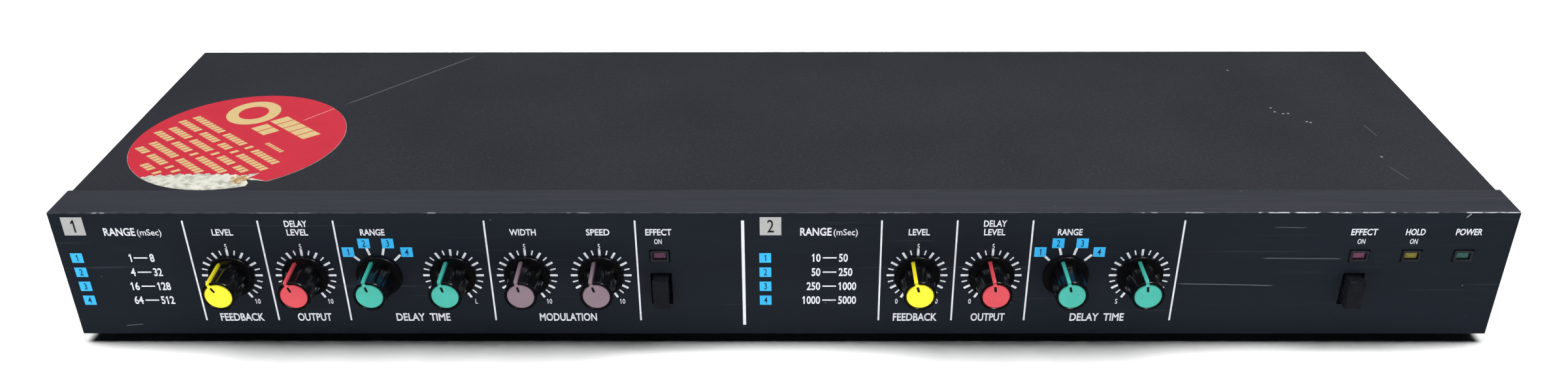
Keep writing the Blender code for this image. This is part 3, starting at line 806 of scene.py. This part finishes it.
def print_table(ink_on, left, centre, rows):
    """A heading, and a numbered block with a range of numbers in each row."""
    ink_on.letters("RANGE", centre - 4.1, 37.35, 2.6, 9.5)
    ink_on.letters("(mSec)", centre + 4.9, 37.2, 2.1, 7.3, weight=0.004)
    for number, (low, high) in enumerate(rows, 1):
        z = TABLE_TOP - TABLE_PITCH * (number - 1)
        print_block(ink_on, left, z, number)
        ink_on.bar(centre + 0.2, z, 4.2, 0.42)
        ink_on.letters(low, centre - 2.6, z, LARGE_CAPS, align="RIGHT")
        ink_on.letters(high, centre + 3.0, z, LARGE_CAPS, align="LEFT")


def print_channel(ink_on, channel, edge, rows):
    """The number square, range table and control labels of one channel."""
    first = KNOB_X[f"ch{channel}_feedback"]
    half = KNOB_PITCH / 2
    ink_on.bar(edge + 3.3, 39.3, 6.5, 6.3, colour="grey")
    ink_on.letters(str(channel), edge + 3.3, 39.3, 4.3, colour="black", level=1, weight=0.004)
    print_table(ink_on, edge + 1.6, first - 27.1, rows)
    last = 6 if channel == 1 else 4
    for gaps in (0, 1, 2, 4, 6):
        if gaps <= last:
            middle = (LEGEND_TOP + DIVIDER_BOTTOM) / 2
            ink_on.bar(first - half + gaps * KNOB_PITCH, middle, DIVIDER_WIDTH, LEGEND_TOP - DIVIDER_BOTTOM)
    labels = [("LEVEL", 0, 0, 6.4), ("DELAY", 1, 3, 6.9), ("LEVEL", 1, 0, 6.4), ("RANGE", 2, 0, 7.4)]
    below = [("FEEDBACK", 0, 13.7), ("OUTPUT", 1, 10.6), ("DELAY  TIME", 2.5, 16.9)]
    if channel == 1:
        labels += [("WIDTH", 4, 0, 8.0), ("SPEED", 5, 0, 7.1)]
        below += [("MODULATION", 4.5, 17.9)]
    for text, index, raised, width in labels:
        ink_on.letters(text, first + index * KNOB_PITCH, LABEL_Z + raised, SMALL_CAPS, width)
    for text, index, width in below:
        ink_on.letters(text, first + index * KNOB_PITCH, FOOT_LABEL_Z, LARGE_CAPS, width)


def make_front_legends():
    ink_on = Print("legend", front_place(0, PANEL_BOTTOM))
    for name, x in KNOB_X.items():
        if STEPPED[name]:
            print_range_dial(ink_on, x)
        else:
            print_dial(ink_on, name, x)
    print_channel(ink_on, 1, -217.4, (("1", "8"), ("4", "32"), ("16", "128"), ("64", "512")))
    print_channel(ink_on, 2, -6.7, (("10", "50"), ("50", "250"), ("250", "1000"), ("1000", "5000")))
    ink_on.bar(-11.8, (LEGEND_TOP + 3.4) / 2, 0.95, LEGEND_TOP - 3.4)
    for name in LENSES:
        x = middle_x(f"{name}_bezel")
        aside, width = (0.4, 5.8) if name == "hold" else (0, 7.9)
        ink_on.letters(name.split("_")[-1].upper(), x - aside, LABEL_Z, SMALL_CAPS, width)
        if name != "power":
            ink_on.letters("ON", x - 0.3, 33.9, 1.7, 2.3, weight=0.006)
    ink_on.finish(INKS)


# Panel, cover and tray


def make_case():
    refined("front_panel", "panel_shell", PANEL, 0.22 * MM, "panel_aluminium")
    refined("chassis_tray", "tray_shell", TRAY, 0.12 * MM, "tray_paint")
    refined("top_cover", "cover_shell", COVER, 0.5 * MM, "cover_paint")
    screws = bmesh.new()
    flush = flat_screw_mesh(2.8)
    for y in (COVER_LOW.y + 22 * MM, COVER_HIGH.y - 20 * MM):
        for side in (-1, 1):
            spot = Matrix.Translation((side * COVER_HIGH.x, y, TRAY_LOW.z + 7 * MM))
            add_mesh(screws, flush, spot @ turn_by(90 * side, "Y") @ IN_MM)
    domed = domed_screw_mesh(2.9, 1.9)
    low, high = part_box("power_transformer")
    below = [(x, FACE_Y + depth) for x in (-0.195, -0.045, 0.105) for depth in (0.034, 0.088)]
    below += [(x, (low.y + high.y) / 2) for x in (low.x + 4 * MM, high.x - 4 * MM)]
    for x, y in below:
        add_mesh(screws, domed, downward_place(x, y, TRAY_LOW.z))
    for x in (-0.205, -0.060, 0.085, 0.205):
        add_mesh(screws, domed, rear_place(x, COVER_TOP - 5.5 * MM))
    add_piece("case_screws", mesh_of(screws, "case_screws"), [SCREW])


def cross_cutter(radius, high, low):
    """The recess of a cross-head screw."""
    blade = radius * 0.14
    reach = radius * 0.62
    arm = [(blade, blade), (reach, blade), (reach, -blade)]
    outline = []
    for _ in range(4):
        outline += arm
        arm = [(y, -x) for x, y in arm]
    return prism(outline, low, high)


def domed_screw_mesh(radius, height):
    rings = [(0, 0.02), (radius, 0.02), (radius, height * 0.35)]
    for turn in (25, 50, 75):
        angle = math.radians(turn)
        rings.append((radius * math.cos(angle) ** 0.6, height * (0.35 + 0.65 * math.sin(angle))))
    rings.append((0, height))
    return combine(lathe(rings, 24), cross_cutter(radius, height * 2, height * 0.45))


def flat_screw_mesh(radius):
    """A countersunk head, flush but for a hair."""
    rings = [(0, -0.6), (radius, -0.6), (radius, 0.10), (radius * 0.93, 0.18), (0, 0.2)]
    return combine(lathe(rings, 28), cross_cutter(radius, 1, -0.4))


# Knobs, in millimetres as (radius, out of the face)

RIBS = 10
FLUTE_DEPTH = 0.58
BARREL = (1.7, 11.5)
KNOB_RINGS = (
    (0, 11.2), (4.26, 11.2), (4.30, 11.86), (4.38, 11.98), (4.70, 12.0), (4.88, 11.88), (4.98, 11.55),
    (5.03, 11.2), (5.08, 10.2), (5.16, 8.6), (5.25, 7.0), (5.34, 5.4), (5.43, 3.8), (5.50, 2.6), (5.54, 1.78),
    (5.62, 1.64), (5.92, 1.60), (6.30, 1.52), (6.75, 1.36), (7.00, 1.18), (7.10, 0.95), (7.10, 0.60),
    (7.02, 0.44), (3.0, 0.42), (3.0, -11.0), (0, -11.0),
)
DISC_TOP = 11.93
DISC_RINGS = (
    (0, DISC_TOP), (3.72, DISC_TOP), (3.93, 11.90), (4.04, 11.80), (4.07, 11.66), (4.07, 11.25), (0, 11.25),
)
SLOT_SIZE = (0.78, 1.95)
SLOT_OUT = 2.55
ARM_WIDTH = 1.1


def fluted(angle, radius, out):
    """Ten wide, shallow flutes between narrow ribs, ending in ledges on the skirt."""
    if not BARREL[0] < out < BARREL[1]:
        return radius
    fade = min(1, (BARREL[1] - out) / 0.3)
    phase = abs((angle * RIBS / (2 * math.pi) + 0.5) % 1 - 0.5) * 2
    return radius - FLUTE_DEPTH * fade * (1 - (1 - phase) ** 2.8)


def arm_mesh(width, grow=0.0):
    """The pointer, drawn across X from its radial section: down the side, round the rim, into the disc."""
    bend = (4.42, 10.95)
    outer = [(5.98 + grow, 1.0 - grow), *arc(bend, 1.0 + grow, 4, 90, 9), (3.9, 11.95 + grow), (3.4, 11.86)]
    inner = [(3.4, 11.3 - grow), (4.55 - grow, 11.1), (5.1 - grow, 1.0 - grow)]
    plane = Matrix(((0, 0, 1, 0), (1, 0, 0, 0), (0, 1, 0, 0), (0, 0, 0, 1)))
    bm = bmesh.new()
    add_mesh(bm, prism(outer + inner, -width / 2, width / 2), plane)
    return mesh_of(bm, "arm")


def slot_mesh(shrink, low, high):
    width, tall = (side * shrink for side in SLOT_SIZE)
    return prism([(x, y + SLOT_OUT) for x, y in rounded_box(width, tall, 0.3, 4)], low, high)


def knob_meshes():
    """The fluted body with its pointer groove, and the cap: disc, slot and pointer arm."""
    body = combine(lathe(KNOB_RINGS, RIBS * 16, fluted), arm_mesh(ARM_WIDTH + 0.14, 0.07))
    bm = bmesh.new()
    add_mesh(bm, combine(lathe(DISC_RINGS, 64), slot_mesh(1, 11.5, 12.5)), material=0)
    add_mesh(bm, eased(arm_mesh(ARM_WIDTH), 0.13, 3), material=0)
    add_mesh(bm, slot_mesh(0.97, 11.45, DISC_TOP - 0.08), material=1)
    return body, mesh_of(bm, "cap")


def make_knobs():
    body, cap = knob_meshes()
    caps = {"feedback": "cap_yellow", "output": "cap_red", "width": "cap_mauve", "speed": "cap_mauve"}
    for name, x, joint, stepped in controls():
        rest = -(RANGE_STOP if stepped else DIAL_STOP) - joint["range_deg"][0]
        turned = front_place(x * MM, joint["pos_m"][2]) @ turn_by(-rest)
        cap_slot = caps.get(name.split("_")[1], "cap_green")
        child = joint["child"]
        assemble(f"{name}_knob", turned, [(body, None)], [KNOB], "knob_black", child)
        assemble(f"{name}_cap", turned, [(cap, None)], [CAPS[cap_slot], CAP_SLOT], cap_slot, child)


# Lamps and buttons


def make_lamps():
    """Bezels with an eased frame round each lens, and the lenses with their bodies and leads behind."""
    for name, (slot, finish) in LENSES.items():
        place, width, tall, proud, _ = measured(f"{name}_bezel")
        _, lens_width, lens_tall, lens_out, _ = measured(f"{name}_lamp")
        window = prism(rounded_box(lens_width + 0.5, lens_tall + 0.5, 0.15, 2), -2.5, proud + 1)
        ring = combine(prism(rounded_box(width, tall, 0.35, 3), -2.0, proud), window)
        ease_edges(assemble(f"{name}_bezel", place, [(ring, 0)], [BEZEL], "bezel_black"), 0.14 * MM, 3)
        lens = eased(prism(rounded_box(lens_width, lens_tall, 0.2, 3), -6, lens_out), 0.18, 3)
        shells = [(lens, 0)]
        for side in (-1.27, 1.27):
            shells.append((box_mesh((side - 0.3, -0.3, -16.5), (side + 0.3, 0.3, -5.9)), 1))
        assemble(f"{name}_lamp", place, shells, [finish, NICKEL], slot, name=f"{name}_lens_detail")


def make_buttons():
    """Tall crisp-edged keys, each with a stem behind."""
    for channel in (1, 2):
        node = f"ch{channel}_effect_button"
        place, width, tall, proud, _ = measured(node)
        stem = eased(box_mesh((-2, -2, -9), (2, 2, -3.6)), 0.2)
        shells = [(hollowed_key(width, tall, proud), 0), (stem, 0)]
        assemble(node, place, shells, [BUTTON], "button_black", f"ch{channel}_effect_key")


def hollowed_key(width, tall, proud):
    """Block whose front face dips a little towards its middle."""
    outlines = []
    for inset, out in ((0.0, -3.7), (0.0, proud - 0.2), (0.05, proud - 0.06), (0.18, proud)):
        shape = rounded_box(width - 2 * inset, tall - 2 * inset, 0.2, 4)
        outlines.append([(x, y, out) for x, y in shape])
    for share, dip in ((0.6, 0.03), (0.3, 0.06)):
        outlines.append([(x * share, y * share, proud - dip) for x, y, _ in outlines[3]])
    bm = bmesh.new()
    loops = [[bm.verts.new(point) for point in outline] for outline in outlines]
    for first, second in zip(loops, loops[1:]):
        for index in range(len(first)):
            after = (index + 1) % len(first)
            bm.faces.new((first[index], first[after], second[after], second[index]))
    bm.faces.new(loops[0])
    bm.faces.new(loops[-1])
    return mesh_of(bm, "key")


# Rear connectors and feet


JACK_BORE = 3.3
BUSH_COLLAR = 5.2
JACK_SCREW_OFFSET = 9.2


def make_jacks():
    """Quarter-inch sockets: body, square flange with two screws, and a plated bush round the bore."""
    for node in [name for name in NODES if name.endswith("_jack")]:
        place, side, _, proud, inside = measured(node, rear=True)
        body = eased(box_mesh((-9, -9, inside), (9, 9, 0.5)), 0.5)
        body = combine(body, lathe([(0, inside + 3), (JACK_BORE, inside + 3), (JACK_BORE, 1), (0, 1)], 40))
        plate = prism(rounded_box(side, side, 2.5, 5), 0.02, 2)
        opening = lathe([(0, -1), (BUSH_COLLAR, -1), (BUSH_COLLAR, 3), (0, 3)], 48)
        plate = eased(combine(plate, opening), 0.3, 3)
        bush = lathe([
            (JACK_BORE, 0.5), (BUSH_COLLAR, 0.5), (BUSH_COLLAR, 2.02), (5.9, 2.02), (6.0, 2.2),
            (6.0, proud - 0.5), (5.6, proud), (4.2, proud), (3.6, proud - 0.3), (JACK_BORE, proud - 0.9),
            (JACK_BORE, 0.5),
        ], 48)
        shells = [(body, 0), (plate, 0), (bush, 1)]
        for corner in (-JACK_SCREW_OFFSET, JACK_SCREW_OFFSET):
            shells.append((domed_screw_mesh(1.9, 1.0), 2, Matrix.Translation((corner, -corner, 2))))
        assemble(node, place, shells, [SOCKET, NICKEL, SCREW], "socket_plastic")


def make_inlet():
    """Mains inlet: round-cornered flange, deep cavity with three blades, and two screws."""
    place, width, tall, proud, inside = measured("mains_inlet", rear=True)
    flange = prism(rounded_box(width, tall, 4, 6), 0, proud)
    shell = combine(flange, prism(rounded_box(27, 19.6, 2, 4), inside + 6, 0.5), "UNION")
    cavity = [(-12.3, -8.5), (12.3, -8.5), (12.3, 4.4), (8.2, 8.5), (-8.2, 8.5), (-12.3, 4.4)]
    shells = [(eased(combine(shell, prism(cavity, -13.8, proud + 1)), 0.35, 3), 0)]
    for side, raised in ((-7, -2), (0, 2), (7, -2)):
        blade = eased(prism(rounded_box(2.1, 4.1, 0.4, 3), inside, proud - 1), 0.25)
        shells.append((blade, 1, Matrix.Translation((side, raised, 0))))
    for side in (-20, 20):
        shells.append((domed_screw_mesh(2.6, 1.4), 2, Matrix.Translation((side, 0, proud))))
    assemble("mains_inlet", place, shells, [SOCKET, BLADE, SCREW], "socket_plastic")


def make_fuse_holder():
    place, _, _, proud, inside = measured("fuse_holder", rear=True)

    def knurled(angle, radius, out):
        grips = 0.25 * (0.5 + 0.5 * math.cos(angle * 24))
        return radius - grips if 2.2 < out < proud - 0.5 and radius > 5 else radius

    rings = [
        (0, inside), (5.6, inside), (6.0, inside + 0.4), (6.0, 0.02), (7.7, 0.02), (7.8, 0.3), (7.8, 1.7),
        (7.5, 2.0), (6.0, 2.1), (6.0, 2.5), (5.95, proud - 0.7), (5.5, proud - 0.15), (5.1, proud),
        (0, proud),
    ]
    slot = box_mesh((-4.2, -0.55, proud - 1.1), (4.2, 0.55, proud + 1))
    turned = combine(lathe(rings, 96, knurled), slot)
    assemble("fuse_holder", place, [(turned, None)], [SOCKET], "socket_plastic")


REAR_WORD_Z = 36.8
REAR_RULE_Z = 8.2
REAR_NUMBER_Z = 5.6


def make_rear_legends():
    """Plain functional words over the sockets, and a thin rule for each channel."""
    face = Matrix.Translation((0, REAR_Y, PANEL_BOTTOM)) @ turn_by(180) @ turn_by(90, "X") @ IN_MM
    ink_on = Print("rear_legend", face)
    spots = {}
    for node in NODES:
        if node.endswith(("_jack", "_inlet", "_holder")):
            spots[node] = -middle_x(node)
            word = {"mains_inlet": "AC IN", "fuse_holder": "FUSE"}.get(node)
            word = word or next(part for part in node.upper().split("_") if part not in ("CH1", "CH2"))
            ink_on.letters(word, spots[node], REAR_WORD_Z, 2.2)
    for channel in (1, 2):
        ends = spots[f"ch{channel}_input_jack"], spots[f"ch{channel}_output_jack"]
        middle = sum(ends) / 2
        ink_on.bar(middle, REAR_RULE_Z, abs(ends[0] - ends[1]) + 24, 0.4)
        ink_on.letters(str(channel), middle, REAR_NUMBER_Z, 2.6)
    ink_on.finish(INKS)


def make_feet():
    for node in [name for name in NODES if name.startswith("foot_")]:
        low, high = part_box(node)
        radius, tall = (high.x - low.x) / 2 / MM, (high.z - low.z) / MM
        foot = lathe([
            (0, 1.8), (2.6, 1.8), (2.9, 0.35), (3.3, 0.05), (radius - 1.9, 0), (radius - 1.35, 0.25),
            (radius - 1.05, 0.7), (radius - 0.3, tall - 0.8), (radius, tall - 0.5),
            (radius - 0.1, tall - 0.05), (radius - 0.4, tall), (0, tall),
        ], 48)
        place = Matrix.Translation(((low.x + high.x) / 2, (low.y + high.y) / 2, low.z)) @ IN_MM
        head_place = Matrix.Translation((0, 0, 1.8)) @ turn_by(180, "X")
        shells = [(foot, 0), (domed_screw_mesh(2.3, 1.2), 1, head_place)]
        assemble(node, place, shells, [RUBBER, SCREW], "foot_rubber")


# Sticker on the cover, in millimetres

STICKER_CENTRE = Vector((-180.4, -9.0))
STICKER_RADIUS = 34.3
STICKER_TURN = -41.1
PAPER_DEPTH = 0.10
RED_DEPTH = 0.06
TEAR_Y = -33.0
TEAR_LEFT = -202.2
TEAR_END = -166.5


def tear_line(x):
    """Y of the ragged upper edge of the torn patch."""
    rise = 1.6 * math.sin((x + 202) / 38 * math.pi)
    ragged = 0.45 * math.sin(x * 2.1) + 0.3 * math.sin(x * 5.3 + 1) + 0.2 * math.sin(x * 11.7)
    return TEAR_Y - 1.4 + rise + ragged


def angle_at(x, y):
    return math.degrees(math.atan2(y - STICKER_CENTRE.y, x - STICKER_CENTRE.x))


def sticker_outlines():
    """The paper, a disc with a bite out of it, and the red print above the tear."""
    left_angle = angle_at(TEAR_LEFT, -35.7)
    tear = [(x / 2, tear_line(x / 2)) for x in range(round(TEAR_LEFT * 2), round(TEAR_END * 2) - 3)]
    tip = [
        (-168.8, -33.0), (-165.3, -32.1), (-166.4, -33.6), (-167.9, -35.5), (-166.0, -35.9), (-164.5, -36.5),
    ]
    right_angle = angle_at(-161.9, -37.2)
    red = [*arc(STICKER_CENTRE, STICKER_RADIUS - 0.08, right_angle, left_angle + 360, 90), *tear, *tip]
    start, end = angle_at(-161.5, -37.6), angle_at(-167.2, -40.5) + 360
    bite = [(-167.0, -38.8), (-168.0, -37.2), (-168.3, -36.3), (-166.6, -36.8), (-164.8, -36.9)]
    return [*arc(STICKER_CENTRE, STICKER_RADIUS, start, end, 100), *bite], red


def make_sticker():
    layers = (("sticker_paper", PAPER, PAPER_DEPTH, 0), ("sticker_face", STICKER, RED_DEPTH, PAPER_DEPTH))
    for (name, finish, depth, under), outline in zip(layers, sticker_outlines()):
        bm = bmesh.new()
        place = Matrix.Translation((0, 0, COVER_TOP + under * MM)) @ IN_MM
        add_mesh(bm, prism(outline, 0.01, depth), place)
        bmesh.ops.triangulate(bm, faces=bm.faces)
        add_piece(name, mesh_of(bm, name), [finish])


GLYPH_GAP = 0.5
# Rows of blocks: place up the sticker, height, width, start, end, and the blocks left out
GLYPH_ROWS = (
    (17.0, 6.0, 3.7, -5.0, 19.0, ()), (9.6, 5.4, 3.7, -5.0, 7.0, ()), (4.6, 1.5, 0.9, 9.0, 20.0, ()),
    (-0.9, 2.6, 1.5, -27.5, 25.0, (9, 16, 18)), (-5.6, 2.6, 1.5, -28.3, 26.0, (6, 12, 16, 18)),
    (-10.4, 2.6, 1.5, -25.8, 24.7, (6, 13, 15, 20)), (-15.1, 2.6, 1.5, -26.7, 20.5, (5, 11, 13)),
    (-20.0, 2.6, 1.5, -20.2, 13.5, (8,)), (-24.7, 2.6, 1.5, -20.2, 11.0, (3, 9, 11)),
    (-29.2, 2.6, 1.5, -7.6, 5.5, (3,)),
)


def make_sticker_print():
    """A plain ring and rows of slanted blocks where a sticker would have its print."""
    level = COVER_TOP + (PAPER_DEPTH + RED_DEPTH - 0.01) * MM
    turn = turn_by(STICKER_TURN)
    face = Matrix.Translation((*(STICKER_CENTRE * MM), level)) @ turn @ IN_MM
    bm = bmesh.new()
    ring = lathe([(5.0, 0), (9.0, 0), (9.0, 0.04), (5.0, 0.04), (5.0, 0)], 64)
    add_mesh(bm, ring, face @ Matrix.Translation((-15.0, 13.8, 0)))
    for v, tall, wide, start, end, gaps in GLYPH_ROWS:
        pitch = wide + GLYPH_GAP
        for index in range(int((end - start) / pitch)):
            if index not in gaps:
                add_glyph(bm, face, start + (index + 0.5) * pitch, v, wide, tall)
    add_piece("sticker_print", mesh_of(bm, "sticker_print"), [CREAM])


def add_glyph(bm, face, u, v, wide, tall):
    """One slanted block, where the red print reaches."""
    x, y, _ = (face @ Vector((u, v, 0))) / MM
    off_centre = math.hypot(x - STICKER_CENTRE.x, y - STICKER_CENTRE.y)
    if off_centre > STICKER_RADIUS - 2.5 or y < tear_line(x) + 1.6:
        return
    slant = 0.18 * tall
    across, up = wide / 2, tall / 2
    corners = [(-across, -up), (across, -up), (across + slant, up), (-across + slant, up)]
    add_mesh(bm, prism([(u + a, v + b) for a, b in corners], 0, 0.04), face)


# Pieces inside the case keep their CAD shapes


def finish_inner_nodes():
    finishes = {
        "_pot": CONTROL, "_selector": CONTROL, "_switch": SWITCH, "_board": BOARD, "_transformer": CORE,
    }
    for name, node in NODES.items():
        if node.hide_render:
            continue
        for ending, finish in finishes.items():
            if name.endswith(ending):
                node.material_slots[0].link = "OBJECT"
                node.material_slots[0].material = finish


# Studio


STUDIO_REACH = 6.0
# Place, aim, size, watts and colour of each light on the object; the highlight is only seen in gloss
MIDDLE = (0, 0, 0.02)
LIGHTS = {
    "top_light": ((0.0, 0.2, 1.3), (0, 0.1, 0), (1.8, 1.2), 22),
    "front_light": ((-0.2, -1.7, 0.7), MIDDLE, (2.2, 1.0), 15),
    "left_light": ((-1.6, 0.1, 0.8), MIDDLE, (1.2, 1.0), 7),
    "right_light": ((1.6, 0.1, 0.8), MIDDLE, (1.2, 1.0), 7, (0.80, 0.90, 1.0)),
    "rear_light": ((0.0, 1.8, 0.8), MIDDLE, (2.0, 1.0), 9),
    "highlight": ((0.45, -0.05, 1.1), (0, -0.05, 0.03), (1.0, 0.3), 7),
}


def softbox(name, only, at, aim, size, watts, colour=(1, 1, 1)):
    """A soft area light on the things in a collection."""
    lamp = bpy.data.lights.new(name, "AREA")
    lamp.shape = "RECTANGLE"
    lamp.size, lamp.size_y = size
    lamp.energy = watts
    lamp.color = colour
    obj = add_object(name, lamp)
    obj.location = at
    obj.rotation_euler = (Vector(aim) - Vector(at)).to_track_quat("-Z", "Y").to_euler()
    obj.visible_glossy = name == "highlight"
    obj.visible_diffuse = name != "highlight"
    obj.visible_camera = False
    obj.light_linking.receiver_collection = only


def make_studio():
    bm = bmesh.new()
    bmesh.ops.create_grid(bm, x_segments=8, y_segments=8, size=STUDIO_REACH)
    floor = bpy.data.objects.new("floor", mesh_of(bm, "floor"))
    floor.data.materials.append(floor_finish())
    bpy.context.scene.collection.objects.link(floor)
    floor.visible_glossy = False
    bm = bmesh.new()
    bmesh.ops.create_uvsphere(bm, u_segments=48, v_segments=24, radius=STUDIO_REACH)
    backdrop = bpy.data.objects.new("backdrop", mesh_of(bm, "backdrop"))
    backdrop.data.materials.append(backdrop_finish())
    bpy.context.scene.collection.objects.link(backdrop)
    backdrop.visible_diffuse = backdrop.visible_glossy = False
    backdrop.visible_transmission = backdrop.visible_shadow = False
    make_sky()
    for_object = bpy.data.collections.new("lit_without_floor")
    for_object.objects.link(floor)
    for_object.collection_objects[0].light_linking.link_state = "EXCLUDE"
    for_floor = bpy.data.collections.new("lit_floor")
    for_floor.objects.link(floor)
    softbox("floor_light", for_floor, (0.0, 0.08, 1.2), (0, 0.08, 0), (2.4, 0.30), 50)
    for name, settings in LIGHTS.items():
        softbox(name, for_object, *settings)


def make_sky():
    """Seen only in glossy surfaces: dark by the horizon and brighter overhead."""
    world = bpy.data.worlds.new("studio")
    world.use_nodes = True
    nodes, links = world.node_tree.nodes, world.node_tree.links
    direction = nodes.new("ShaderNodeTexCoord").outputs["Generated"]
    split = nodes.new("ShaderNodeSeparateXYZ")
    links.new(direction, split.inputs[0])
    climb = nodes.new("ShaderNodeMapRange")
    climb.interpolation_type = "SMOOTHSTEP"
    for socket, value in {"From Min": 0.45, "From Max": 1.0, "To Min": 0.04, "To Max": 0.45}.items():
        climb.inputs[socket].default_value = value
    links.new(split.outputs["Z"], climb.inputs["Value"])
    links.new(climb.outputs[0], nodes["Background"].inputs["Strength"])
    nodes["Background"].inputs["Color"].default_value = (0.93, 0.96, 1.0, 1)
    bpy.context.scene.world = world
    world.cycles_visibility.diffuse = False


CAMERA_AT = (2.88 * MM, -405.2 * MM, 248.06 * MM)
CAMERA_TILT = 60.76
CAMERA_TURN = 0.359
CAMERA_ROLL = -0.202
CAMERA_LENS = 30.77


def make_camera():
    data = bpy.data.cameras.new("camera")
    data.lens = CAMERA_LENS
    data.sensor_width = 36
    data.clip_start = 0.01
    camera = bpy.data.objects.new("camera", data)
    turn = turn_by(CAMERA_TURN)
    tilt = turn_by(CAMERA_TILT, "X")
    roll = turn_by(CAMERA_ROLL)
    camera.matrix_world = Matrix.Translation(CAMERA_AT) @ turn @ tilt @ roll
    bpy.context.scene.collection.objects.link(camera)
    bpy.context.scene.camera = camera
    bpy.context.scene.view_settings.view_transform = "Standard"


random.seed(7)
make_camera()
make_case()
make_front_legends()
make_knobs()
make_lamps()
make_buttons()
make_jacks()
make_inlet()
make_fuse_holder()
make_rear_legends()
make_feet()
make_sticker()
make_sticker_print()
finish_inner_nodes()
make_studio()
